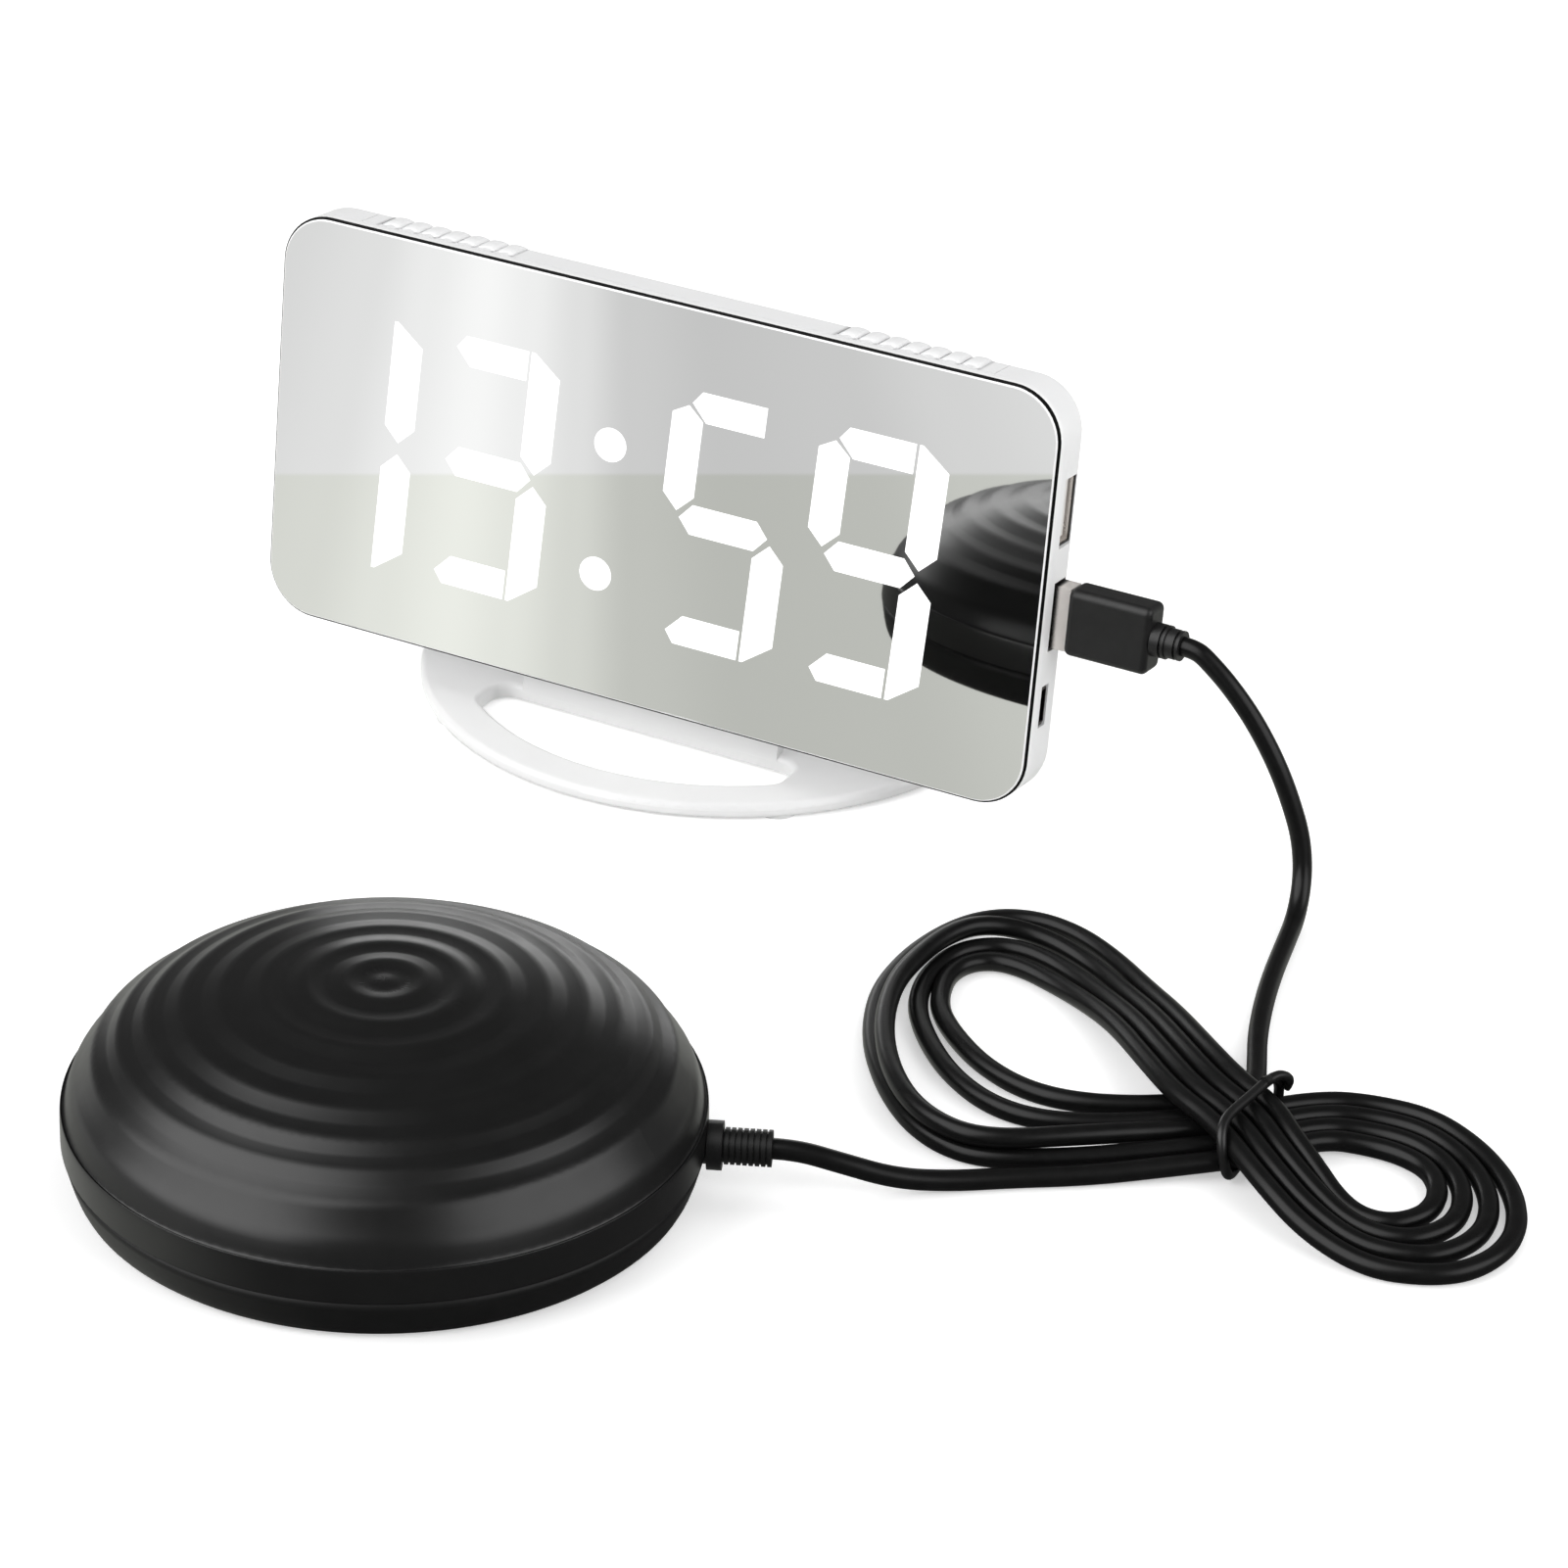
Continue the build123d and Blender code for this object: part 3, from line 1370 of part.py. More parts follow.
def arc_points(start, tangent, end, count):
    # Points along the arc that leaves start along the tangent and reaches end
    chord = end - start
    normal = tangent.cross(chord)
    if normal.length < tiny_share:
        return [start + chord * (k / count) for k in range(1, count + 1)]
    sideways = normal.cross(tangent).normalized()
    radius = chord.dot(chord) / (2 * chord.dot(sideways))
    centre = start + sideways * radius
    turn = 2 * math.asin(min(1, chord.length / (2 * radius)))
    if chord.dot(tangent) < 0:
        turn = 2 * math.pi - turn
    return [
        centre - sideways * (radius * math.cos(turn * k / count)) + tangent * (radius * math.sin(turn * k / count))
        for k in range(1, count + 1)
    ]


hank_points = [hank_entry]
with BuildPart() as cord_hank:
    with BuildLine() as hank_route:
        Line(hank_entry, hank_nodes[0][0])
        for (start, start_travel), (end, end_travel) in zip(hank_nodes, hank_nodes[1:]):
            joint = biarc(start, start_travel, end, end_travel)
            tangent = heading_vector(start_travel)
            first_points = arc_points(start, tangent, joint, points_per_arc)
            ThreePointArc(start, first_points[points_per_arc // 2 - 1], joint)
            tangent = heading_vector(end_travel) * -1
            last_points = arc_points(end, tangent, joint, points_per_arc)
            ThreePointArc(joint, last_points[points_per_arc // 2 - 1], end)
            hank_points += [start] + first_points + last_points[::-1][1:]
        Line(hank_nodes[-1][0], hank_exit)
    with BuildSketch(Plane(origin=hank_entry, z_dir=heading_vector(hank_start_heading))):
        Circle(cord_radius)
    sweep(path=hank_route.line)
hank_points += [hank_nodes[-1][0], hank_exit]
report_tube("cord_hank", cord_hank.part, hank_route.wire().length)

# Least gap of the hank to itself, measured on its points
spans = [(b - a).length for a, b in zip(hank_points, hank_points[1:])]
distances = [sum(spans[:index]) for index in range(len(hank_points))]
least_gap, gap_place = min(
    ((a - b).length - cord_diameter, (round(a.X), round(a.Y), round(b.X), round(b.Y)))
    for i, a in enumerate(hank_points)
    for j, b in enumerate(hank_points[i + 1:], i + 1)
    if distances[j] - distances[i] > gap_skip * cord_diameter
)
print("cord_hank least gap to itself", round(least_gap, 2), "near", gap_place)

# Tie about the waist: a rounded loop of thin round cord with a twisted tail
tie_plane = Plane.YZ.offset(waist_x)
tie_middle_z = (tie_floor_gap + tie_top) / 2
with BuildPart() as hank_tie:
    with BuildSketch(tie_plane.offset(-tie_diameter / 2)):
        with Locations((waist_y, tie_middle_z)):
            RectangleRounded(tie_inside_width + 2 * tie_diameter, tie_top - tie_floor_gap, tie_corner)
            RectangleRounded(
                tie_inside_width, tie_top - tie_floor_gap - 2 * tie_diameter, tie_corner - tie_diameter,
                mode=Mode.SUBTRACT,
            )
    extrude(amount=tie_diameter)
    fillet(hank_tie.faces().filter_by(Axis.X).edges(), tie_diameter * tie_round_share)
    tail_start = (waist_x, waist_y + tie_inside_width / 2 + tie_diameter / 2, tie_top - tie_corner)
    for lean_out in (-1, 1):
        with BuildSketch(Plane(origin=tail_start, z_dir=(lean_out * tail_spread_share, 1, tail_rise_share))):
            Circle(tie_diameter / 2)
        extrude(amount=tie_tail_length)

pieces = {
    "stand_base": stand_base,
    "stand_pads": stand_pads,
    "mirror_panel": mirror_panel,
    "mask_film": mask_film,
    "light_box": light_box,
    "segment_lenses": segment_lenses,
    "display_board": display_board,
    "segment_leds": segment_leds,
    "case_shell": case_shell,
    "snooze_bar": snooze_bar,
    "snooze_switches": snooze_switches,
    "button_switches": button_switches,
    "buzzer": buzzer,
    "battery_door": battery_door,
    "coin_cell": coin_cell,
    "cell_contact": cell_contact,
    "case_screws": case_screws,
    "port_board": port_board,
    "usb_socket_top": usb_socket_top,
    "usb_tongue_top": usb_tongue_top,
    "usb_socket_low": usb_socket_low,
    "usb_tongue_low": usb_tongue_low,
    "power_socket": power_socket,
    "power_tongue": power_tongue,
    "plug_shell": plug_shell,
    "plug_tongue": plug_tongue,
    "plug_grip": plug_grip,
    "plug_lead": plug_lead,
    "cord_hank": cord_hank,
    "hank_tie": hank_tie,
    "shaker_lead": shaker_lead,
    "cord_boot": cord_boot,
    "shaker_dome": shaker_dome,
    "shaker_base": shaker_base,
    "shaker_pads": shaker_pads,
    "shaker_screws": shaker_screws,
    "motor_can": motor_can,
    "motor_strap": motor_strap,
    "strap_screws": strap_screws,
    "motor_shaft": motor_shaft,
    "eccentric_weight": eccentric_weight,
}
for name, button in zip(("button_time", "button_alarm", "button_up", "button_down", "button_level"), buttons):
    pieces[name] = button

for name, piece in pieces.items():
    piece.part.label = name
    export_step(piece.part, f"parts/{name}.step")
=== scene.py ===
import math
import bmesh
import bpy
from mathutils import Matrix, Vector


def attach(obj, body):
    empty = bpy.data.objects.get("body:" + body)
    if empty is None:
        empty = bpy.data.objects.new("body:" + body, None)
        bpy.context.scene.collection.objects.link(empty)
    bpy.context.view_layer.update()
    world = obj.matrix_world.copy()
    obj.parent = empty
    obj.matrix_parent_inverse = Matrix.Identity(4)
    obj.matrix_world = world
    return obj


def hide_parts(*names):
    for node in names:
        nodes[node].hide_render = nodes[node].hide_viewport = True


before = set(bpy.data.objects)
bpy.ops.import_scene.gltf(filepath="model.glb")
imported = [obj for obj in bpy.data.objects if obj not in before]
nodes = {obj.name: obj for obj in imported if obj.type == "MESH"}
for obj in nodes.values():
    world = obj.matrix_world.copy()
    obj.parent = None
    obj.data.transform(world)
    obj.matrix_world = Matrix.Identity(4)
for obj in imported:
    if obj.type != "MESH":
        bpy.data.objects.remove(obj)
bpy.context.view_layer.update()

# The leaning panel: the middle of its lower front edge, and the ways up and out of its face
LEAN = math.radians(6.35)
CORNER = Vector((0, -0.012, 0.00965))
UP = Vector((0, math.sin(LEAN), math.cos(LEAN)))
OUT = Vector((0, -math.cos(LEAN), math.sin(LEAN)))
# The bar on top of the clock: seven ribs stand about a middle on each side
BAR_TOP, RIB_MIDDLE, RIB_PITCH, RIB_COUNT = 0.081, 0.049, 0.0042, 7
RIBS_HALF = 0.0147
# The shaker's middle, and the height of the seam between its two shells
SHAKER_X, SHAKER_Y = 0.0393, -0.1606
SEAM = 0.0081
X_AXIS, Z_AXIS = (1, 0, 0), (0, 0, 1)


def on_panel(x, h, out):
    """A point given across, up and out of the panel, in metres."""
    return CORNER + Vector((x, 0, 0)) + UP * h + OUT * out


# Materials
def math_node(tree, operation, a, b=None, clamp=False):
    """The result of a Math node; a and b are numbers or sockets."""
    made = tree.nodes.new("ShaderNodeMath")
    made.operation, made.use_clamp = operation, clamp
    for socket, value in zip(made.inputs, (a, b)):
        if isinstance(value, (int, float)):
            socket.default_value = value
        elif value is not None:
            tree.links.new(value, socket)
    return made.outputs[0]


def dot_node(tree, source, direction):
    """How far a vector reaches along a direction."""
    made = tree.nodes.new("ShaderNodeVectorMath")
    made.operation = "DOT_PRODUCT"
    made.inputs[1].default_value = direction
    tree.links.new(source, made.inputs[0])
    return made.outputs["Value"]


class Look:
    """A node material with grain, tone and roughness that vary over the surface."""

    def __init__(self, name, colour, rough, metallic=0.0, specular=0.5, vary=0.04, grain=260.0,
                 rough_vary=0.04, bump=0.05, bump_grain=3200.0, depth=0.00004):
        self.material = bpy.data.materials.new(name)
        self.material.use_nodes = True
        self.tree = self.material.node_tree
        self.shader = self.tree.nodes["Principled BSDF"]
        self.shader.inputs["Metallic"].default_value = metallic
        self.shader.inputs["Specular IOR Level"].default_value = specular
        self.where = self.node("ShaderNodeTexCoord").outputs["Object"]
        self.tone = self.ramp(self.noise(grain, 3.0), [
            (0.3, [c * (1 - vary) for c in colour]),
            (0.7, [min(1.0, c * (1 + vary)) for c in colour])])
        self.tree.links.new(self.tone, self.shader.inputs["Base Color"])
        spread = self.node("ShaderNodeMapRange")
        spread.inputs["To Min"].default_value = rough - rough_vary
        spread.inputs["To Max"].default_value = rough + rough_vary
        self.tree.links.new(self.noise(grain * 2.3, 2.0), spread.inputs["Value"])
        self.tree.links.new(spread.outputs["Result"], self.shader.inputs["Roughness"])
        relief = self.node("ShaderNodeBump")
        relief.inputs["Strength"].default_value = bump
        relief.inputs["Distance"].default_value = depth
        self.tree.links.new(self.noise(bump_grain, 2.0), relief.inputs["Height"])
        self.tree.links.new(relief.outputs["Normal"], self.shader.inputs["Normal"])

    def node(self, kind, **settings):
        made = self.tree.nodes.new(kind)
        for key, value in settings.items():
            setattr(made, key, value)
        return made

    def noise(self, scale, detail):
        made = self.node("ShaderNodeTexNoise")
        made.inputs["Scale"].default_value = scale
        made.inputs["Detail"].default_value = detail
        self.tree.links.new(self.where, made.inputs["Vector"])
        return made.outputs["Fac"]

    def ramp(self, value, stops, interpolation="LINEAR"):
        made = self.node("ShaderNodeValToRGB")
        made.color_ramp.interpolation = interpolation
        band = made.color_ramp.elements
        while len(band) < len(stops):
            band.new(0.5)
        # All the places first, because an element that passes another one takes its number
        for element, (place, _) in zip(band, stops):
            element.position = place
        for element, (_, colour) in zip(band, stops):
            element.color = (*colour, 1.0)
        self.tree.links.new(value, made.inputs["Fac"])
        return made.outputs["Color"]

    def math(self, operation, a, b=None, clamp=False):
        return math_node(self.tree, operation, a, b, clamp)

    def along(self, direction, source=None):
        """The coordinate along a direction."""
        return dot_node(self.tree, source or self.where, direction)

    def past(self, value, start, width):
        """Goes from 0 to 1 as the value goes from start to start + width."""
        return self.math("DIVIDE", self.math("SUBTRACT", value, start), width, clamp=True)

    def mix(self, share, first, second):
        """A colour between two; the second one is a colour or a socket."""
        made = self.node("ShaderNodeMix", data_type="RGBA")
        self.tree.links.new(share, made.inputs["Factor"])
        self.tree.links.new(first, made.inputs[6])
        if isinstance(second, tuple):
            made.inputs[7].default_value = (*second, 1.0)
        else:
            self.tree.links.new(second, made.inputs[7])
        return made.outputs[2]

    def colour_by(self, share, other):
        """Base colour goes to another one as share goes to 1."""
        self.tone = self.mix(share, self.tone, other)
        self.tree.links.new(self.tone, self.shader.inputs["Base Color"])


def grey(value, warm=0.0):
    return [value * (1 + warm), value, value * (1 - warm)]


white_plastic = Look("white_plastic", (0.86, 0.862, 0.865), 0.32, specular=0.45, vary=0.012,
                     grain=90.0, bump=0.06, bump_grain=4200.0)
white_stand = Look("white_stand", (0.79, 0.79, 0.79), 0.30, specular=0.45, vary=0.01, grain=70.0,
                   bump=0.05, bump_grain=4200.0)
film = Look("film", grey(0.02), 0.5)
grid_white = Look("grid_white", grey(0.88), 0.6, vary=0.03)
lens_white = Look("lens_white", grey(0.92), 0.35, vary=0.02)
board_green = Look("board_green", (0.02, 0.12, 0.05), 0.45, vary=0.18, grain=520.0)
led_white = Look("led_white", (0.9, 0.88, 0.7), 0.4, vary=0.05)
switch_black = Look("switch_black", grey(0.018), 0.42, vary=0.15)
cell_steel = Look("cell_steel", grey(0.7), 0.24, metallic=1.0, vary=0.05, grain=420.0)
zinc = Look("zinc", (0.58, 0.585, 0.6), 0.34, metallic=1.0, vary=0.08, grain=600.0)
# Socket metal painted near black: painted shade inside the mouths of the low USB port and the power
# port
port_shade_metal = Look("port_shade_metal", (0.060, 0.050, 0.047), 0.36, metallic=1.0, vary=0.06, grain=300.0,
                 bump=0.02)
contact_gold = Look("contact_gold", (0.83, 0.60, 0.28), 0.25, metallic=1.0, vary=0.06, grain=900.0)
insulator = Look("insulator", (0.80, 0.78, 0.75), 0.42, vary=0.03)
grip_black = Look("grip_black", grey(0.0105), 0.44, specular=0.36, vary=0.16, grain=420.0,
                  bump=0.22, bump_grain=5200.0, depth=0.00006)
shaker_black = Look("shaker_black", grey(0.0062), 0.31, specular=0.40, vary=0.10, grain=160.0,
                    rough_vary=0.03, bump=0.05, bump_grain=3600.0)
base_black = Look("base_black", grey(0.0058), 0.48, specular=0.20, vary=0.12, grain=220.0,
                  bump=0.08, bump_grain=3600.0)
boot_black = Look("boot_black", grey(0.008), 0.42, specular=0.30, vary=0.14, grain=380.0, bump=0.15)
cord_black = Look("cord_black", grey(0.0050), 0.30, specular=0.22, vary=0.18, grain=330.0,
                  rough_vary=0.05, bump=0.14, bump_grain=2600.0, depth=0.00005)
tie_black = Look("tie_black", grey(0.008), 0.34, specular=0.42, vary=0.15, grain=500.0, bump=0.2)
rubber = Look("rubber", grey(0.05), 0.7, vary=0.12, grain=420.0, bump=0.25)
clear_rubber = Look("clear_rubber", grey(0.72), 0.45, vary=0.04, bump=0.1)
motor_zinc = Look("motor_zinc", grey(0.62), 0.30, metallic=1.0, vary=0.06, grain=320.0)
sintered = Look("sintered", grey(0.30, 0.02), 0.55, metallic=1.0, vary=0.2, grain=900.0, bump=0.3)

plug_metal = Look("plug_metal", (0.95, 0.90, 0.86), 0.30, metallic=0.5, vary=0.02, grain=300.0,
                  bump=0.02)
socket_metal = Look("socket_metal", (0.92, 0.87, 0.83), 0.26, metallic=0.6, vary=0.03, grain=300.0,
                    bump=0.02)
# The lip of the open port lies in the shade of the case's wall
LIP_X, LIP_FADE = 0.0813, 0.0003
socket_metal.colour_by(socket_metal.past(socket_metal.along(X_AXIS), LIP_X, LIP_FADE),
                       (0.02, 0.018, 0.017))
# The plug's shell lies in the shade where it goes into the port, and shines where it is pulled out
GRIP_SIDE_X, SHADE_REACH, OPEN_SHARE, SHADE_FADE = 0.0840, 0.0016, 0.86, 0.16
near_wall = plug_metal.node("ShaderNodeAmbientOcclusion", samples=12)
near_wall.inputs["Distance"].default_value = SHADE_REACH
covered = plug_metal.math("SUBTRACT", OPEN_SHARE, near_wall.outputs["AO"])
shade = plug_metal.math("DIVIDE", covered, SHADE_FADE, clamp=True)
off_grip = plug_metal.math("LESS_THAN", plug_metal.along(X_AXIS), GRIP_SIDE_X)
plug_metal.colour_by(plug_metal.math("MULTIPLY", shade, off_grip), (0.018, 0.016, 0.015))

# A fine dark line where the shaker's two shells meet
SEAM_LINE = 0.00022
for look in (shaker_black, base_black):
    off = look.math("ABSOLUTE", look.math("SUBTRACT", look.along(Z_AXIS), SEAM))
    line = look.math("SUBTRACT", 1.0, look.math("DIVIDE", off, SEAM_LINE), clamp=True)
    look.colour_by(line, (0.001, 0.001, 0.001))

# The panel: half-silvered face, a bevel painted pale as a painted highlight, and a dark line of
# painted shade along the foot of the bevel, where the panel meets the case
LINE_DEPTH, LINE_HALF, FACE_FACING = 0.00059, 0.00031, 0.995
panel = Look("half_mirror", (0.93, 0.935, 0.93), 0.018, metallic=1.0, vary=0.006, grain=30.0,
             rough_vary=0.006, bump=0.0, bump_grain=60.0)
facing = panel.along(OUT, panel.node("ShaderNodeNewGeometry").outputs["Normal"])
# The pale bevel is a painted highlight: a white shader where the glass would reflect the white studio
bevel = panel.node("ShaderNodeBsdfPrincipled")
bevel.inputs["Base Color"].default_value = (0.97, 0.97, 0.97, 1.0)
bevel.inputs["Roughness"].default_value = 0.22
# A near-black matt shader for the painted shade in the gap between the panel and the case
edge = panel.node("ShaderNodeBsdfPrincipled")
edge.inputs["Base Color"].default_value = (0.003, 0.003, 0.003, 1.0)
edge.inputs["Roughness"].default_value = 0.5
edge.inputs["Specular IOR Level"].default_value = 0.08
depth_of = panel.math("MULTIPLY", panel.math("SUBTRACT", panel.along(OUT), OUT.dot(CORNER)), -1.0)
off_line = panel.math("ABSOLUTE", panel.math("SUBTRACT", depth_of, LINE_DEPTH))
gap_painted_shade = panel.math("LESS_THAN", off_line, LINE_HALF)
rim_mix, face_mix = panel.node("ShaderNodeMixShader"), panel.node("ShaderNodeMixShader")
panel.tree.links.new(gap_painted_shade, rim_mix.inputs["Fac"])
panel.tree.links.new(bevel.outputs["BSDF"], rim_mix.inputs[1])
panel.tree.links.new(edge.outputs["BSDF"], rim_mix.inputs[2])
panel.tree.links.new(panel.math("GREATER_THAN", facing, FACE_FACING), face_mix.inputs["Fac"])
panel.tree.links.new(rim_mix.outputs["Shader"], face_mix.inputs[1])
panel.tree.links.new(panel.shader.outputs["BSDF"], face_mix.inputs[2])
panel.tree.links.new(face_mix.outputs["Shader"],
                     panel.tree.nodes["Material Output"].inputs["Surface"])

# Soft shade in the valleys of the snooze bar's ribs, on its top only
VALLEY_HALF, ROW_MARGIN, TOP_LEVEL = 0.16, 0.2, 0.0794
ribbed = Look("ribbed_white", (0.86, 0.862, 0.865), 0.32, specular=0.45, vary=0.012, grain=90.0,
              bump=0.06, bump_grain=4200.0)
from_middle = ribbed.math("ABSOLUTE", ribbed.along(X_AXIS))
place = ribbed.math("DIVIDE", ribbed.math("SUBTRACT", from_middle, RIB_MIDDLE - RIBS_HALF), RIB_PITCH)
near = ribbed.math("ABSOLUTE", ribbed.math("SUBTRACT", place, ribbed.math("ROUND", place)))
valley = ribbed.math("SUBTRACT", 1.0, ribbed.math("DIVIDE", near, VALLEY_HALF), clamp=True)
from_row = ribbed.math("ABSOLUTE", ribbed.math("SUBTRACT", place, RIB_COUNT / 2))
in_row = ribbed.math("LESS_THAN", from_row, RIB_COUNT / 2 + ROW_MARGIN)
on_top = ribbed.math("GREATER_THAN", ribbed.along(UP), UP.dot(CORNER) + TOP_LEVEL)
ribbed.colour_by(ribbed.math("MULTIPLY", ribbed.math("MULTIPLY", valley, in_row), on_top),
                 (0.52, 0.52, 0.525))

# Lit strokes
lit = Look("lit_white", grey(0.5), 0.5, vary=0.02)
lit.shader.inputs["Emission Strength"].default_value = 1.0
glow = lit.ramp(lit.noise(140.0, 1.0), [(0.2, grey(0.98)), (0.8, grey(1.0))])
lit.tree.links.new(glow, lit.shader.inputs["Emission Color"])

looks = {
    "stand_base": white_stand, "stand_pads": clear_rubber, "mirror_panel": panel, "mask_film": film,
    "light_box": grid_white, "segment_lenses": lens_white, "display_board": board_green,
    "segment_leds": led_white, "case_shell": white_plastic, "snooze_switches": switch_black,
    "button_switches": switch_black, "buzzer": switch_black, "coin_cell": cell_steel,
    "cell_contact": zinc, "case_screws": zinc, "port_board": board_green,
    "usb_socket_top": socket_metal, "usb_tongue_top": insulator, "usb_socket_low": port_shade_metal,
    "usb_tongue_low": insulator, "power_socket": port_shade_metal, "power_tongue": switch_black,
    "snooze_bar": ribbed, "battery_door": white_plastic, "button_time": white_plastic,
    "button_alarm": white_plastic, "button_up": white_plastic, "button_down": white_plastic,
    "button_level": white_plastic, "plug_shell": plug_metal, "plug_tongue": insulator,
    "plug_grip": grip_black, "plug_lead": cord_black, "cord_hank": cord_black,
    "hank_tie": tie_black, "shaker_lead": cord_black, "cord_boot": boot_black,
    "shaker_dome": shaker_black, "shaker_base": base_black, "shaker_pads": rubber,
    "shaker_screws": zinc, "motor_can": motor_zinc, "motor_strap": zinc, "strap_screws": zinc,
    "motor_shaft": zinc, "eccentric_weight": sintered,
}
for name, look in looks.items():
    mesh = nodes[name].data
    mesh.materials.clear()
    mesh.materials.append(look.material)


def add_mesh(name, fill, look, body):
    """A mesh piece that rides on a body; fill builds it in a bmesh."""
    mesh = bpy.data.meshes.new(name)
    work = bmesh.new()
    fill(work)
    bmesh.ops.recalc_face_normals(work, faces=work.faces)
    work.to_mesh(mesh)
    work.free()
    piece = bpy.data.objects.new(name, mesh)
    bpy.context.scene.collection.objects.link(piece)
    mesh.materials.append(look.material)
    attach(piece, body)


def add_slab(work, corners, height):
    """A thin plate from its outline, raised by a vector."""
    low = [work.verts.new(c) for c in corners]
    high = [work.verts.new(c + height) for c in corners]
    work.faces.new(low)
    work.faces.new(list(reversed(high)))
    for i in range(len(low)):
        j = (i + 1) % len(low)
        work.faces.new((low[i], low[j], high[j], high[i]))


# The lit display
# A digit's half size and the height of its middle, then the sizes of its strokes
HALF_W, HALF_H, MIDDLE = 0.0133, 0.0251, 0.0402
STROKE, BAR, CUT, POINT, GAP = 0.0065, 0.0058, 0.0042, 0.0031, 0.0007
SLANT = math.tan(math.radians(2.7))
DISPLAY_X, PAIR_STEP, DIGIT_STEP = -0.0088, 0.0408, 0.01545
CENTRES = [DISPLAY_X + pair * PAIR_STEP + within * DIGIT_STEP
           for pair in (-1, 1) for within in (-1, 1)]
inner_x, inner_y, half_bar, tip_x = HALF_W - STROKE, HALF_H - BAR, BAR / 2, HALF_W - STROKE / 2
foot = half_bar + GAP + GAP
tip = foot - POINT
# The lit slabs start just behind the panel's face and end just before it
SLAB_START, SLAB_HEIGHT = -0.00003, OUT * 0.00012


def flipped(outline):
    return [(x, -y) for x, y in outline]


right_up = [(inner_x, HALF_H), (inner_x + GAP, HALF_H), (HALF_W, HALF_H - CUT), (HALF_W, foot),
            (tip_x, tip), (inner_x, foot)]
left_up = [(-inner_x, inner_y), (-tip_x, HALF_H - POINT), (-HALF_W, HALF_H - CUT - GAP),
           (-HALF_W, foot), (-tip_x, tip), (-inner_x, foot)]
top = [(GAP - inner_x, inner_y), (inner_x - GAP, inner_y), (inner_x - GAP, HALF_H),
       (-inner_x - GAP, HALF_H), (GAP - tip_x, HALF_H - POINT + GAP)]
across = [(GAP - tip_x, 0), (-inner_x, half_bar), (inner_x, half_bar), (tip_x - GAP, 0),
          (inner_x, -half_bar), (-inner_x, -half_bar)]
strokes = {"a": top, "b": right_up, "c": flipped(right_up), "d": flipped(top),
           "e": flipped(left_up), "f": left_up, "g": across}


def digit(centre, middle, lit_strokes):
    """Fills a mesh with the lit strokes of one digit."""
    def fill(work):
        for letter in lit_strokes:
            add_slab(work, [on_panel(centre + x + SLANT * y, middle + y, SLAB_START)
                            for x, y in strokes[letter]], SLAB_HEIGHT)
    return fill


# How far each digit stands from its place, across and up
nudges = ((0.0004, -0.0012), (-0.0003, -0.0006), (0.0, -0.0001), (-0.0002, 0.0002))
shown = ("bc", "abgcd", "afgcd", "abfgcd")
for number, (centre, nudge, lit_strokes) in enumerate(zip(CENTRES, nudges, shown)):
    add_mesh(f"lit_digit_{number + 1}", digit(centre + nudge[0], MIDDLE + nudge[1], lit_strokes), lit,
             "clock")

DOT_X, DOT_LEVEL, DOT_RISE = -0.00905, MIDDLE - 0.0026, 0.013
DOT_HALF_W, DOT_HALF_H, DOT_STEPS = 0.0034, 0.0033, 40


def dots(work):
    """The two dots between the pairs of digits."""
    turns = [math.tau * k / DOT_STEPS for k in range(DOT_STEPS)]
    for rise in (-DOT_RISE, DOT_RISE):
        add_slab(work, [on_panel(DOT_X + SLANT * rise + DOT_HALF_W * math.cos(a),
                                 DOT_LEVEL + rise + DOT_HALF_H * math.sin(a), SLAB_START)
                        for a in turns], SLAB_HEIGHT)


add_mesh("lit_dots", dots, lit, "clock")

# Small parts
TONGUE_LEVEL, TONGUE_FACE, CONTACT_HALF = 0.0573, -0.0076, 0.0005
CONTACT_START, CONTACT_END, CONTACT_TIP, CONTACT_SUNK = 0.0720, 0.0803, 0.0002, 0.00006


def contacts(work):
    """Four flat contacts on the tongue of the open port."""
    for across_tongue in (-0.0035, -0.001, 0.001, 0.0035):
        middle = TONGUE_LEVEL + across_tongue
        low, high = middle - CONTACT_HALF, middle + CONTACT_HALF
        end = CONTACT_END + CONTACT_TIP
        add_slab(work, [on_panel(x, h, TONGUE_FACE - CONTACT_SUNK) for x, h in (
            (CONTACT_START, low), (CONTACT_END, low), (end, low + CONTACT_TIP),
            (end, high - CONTACT_TIP), (CONTACT_END, high), (CONTACT_START, high))], OUT * 0.00016)


add_mesh("port_contacts", contacts, contact_gold, "clock")

# Each cap runs back along the bar's top in flat rows, then over its rounded back
CAP_START, ROUND_START, ROUNDING = 0.0047, 0.009, 0.0026
CAP_HALF_W, CAP_SWELL, CAP_SUNK, CAP_THICK = 0.0019, 0.00052, 0.00014, 0.0004
FLAT_ROWS, LAST_ROW, ROW_TURN, CAP_SIDE = 5, 13, 10, 4


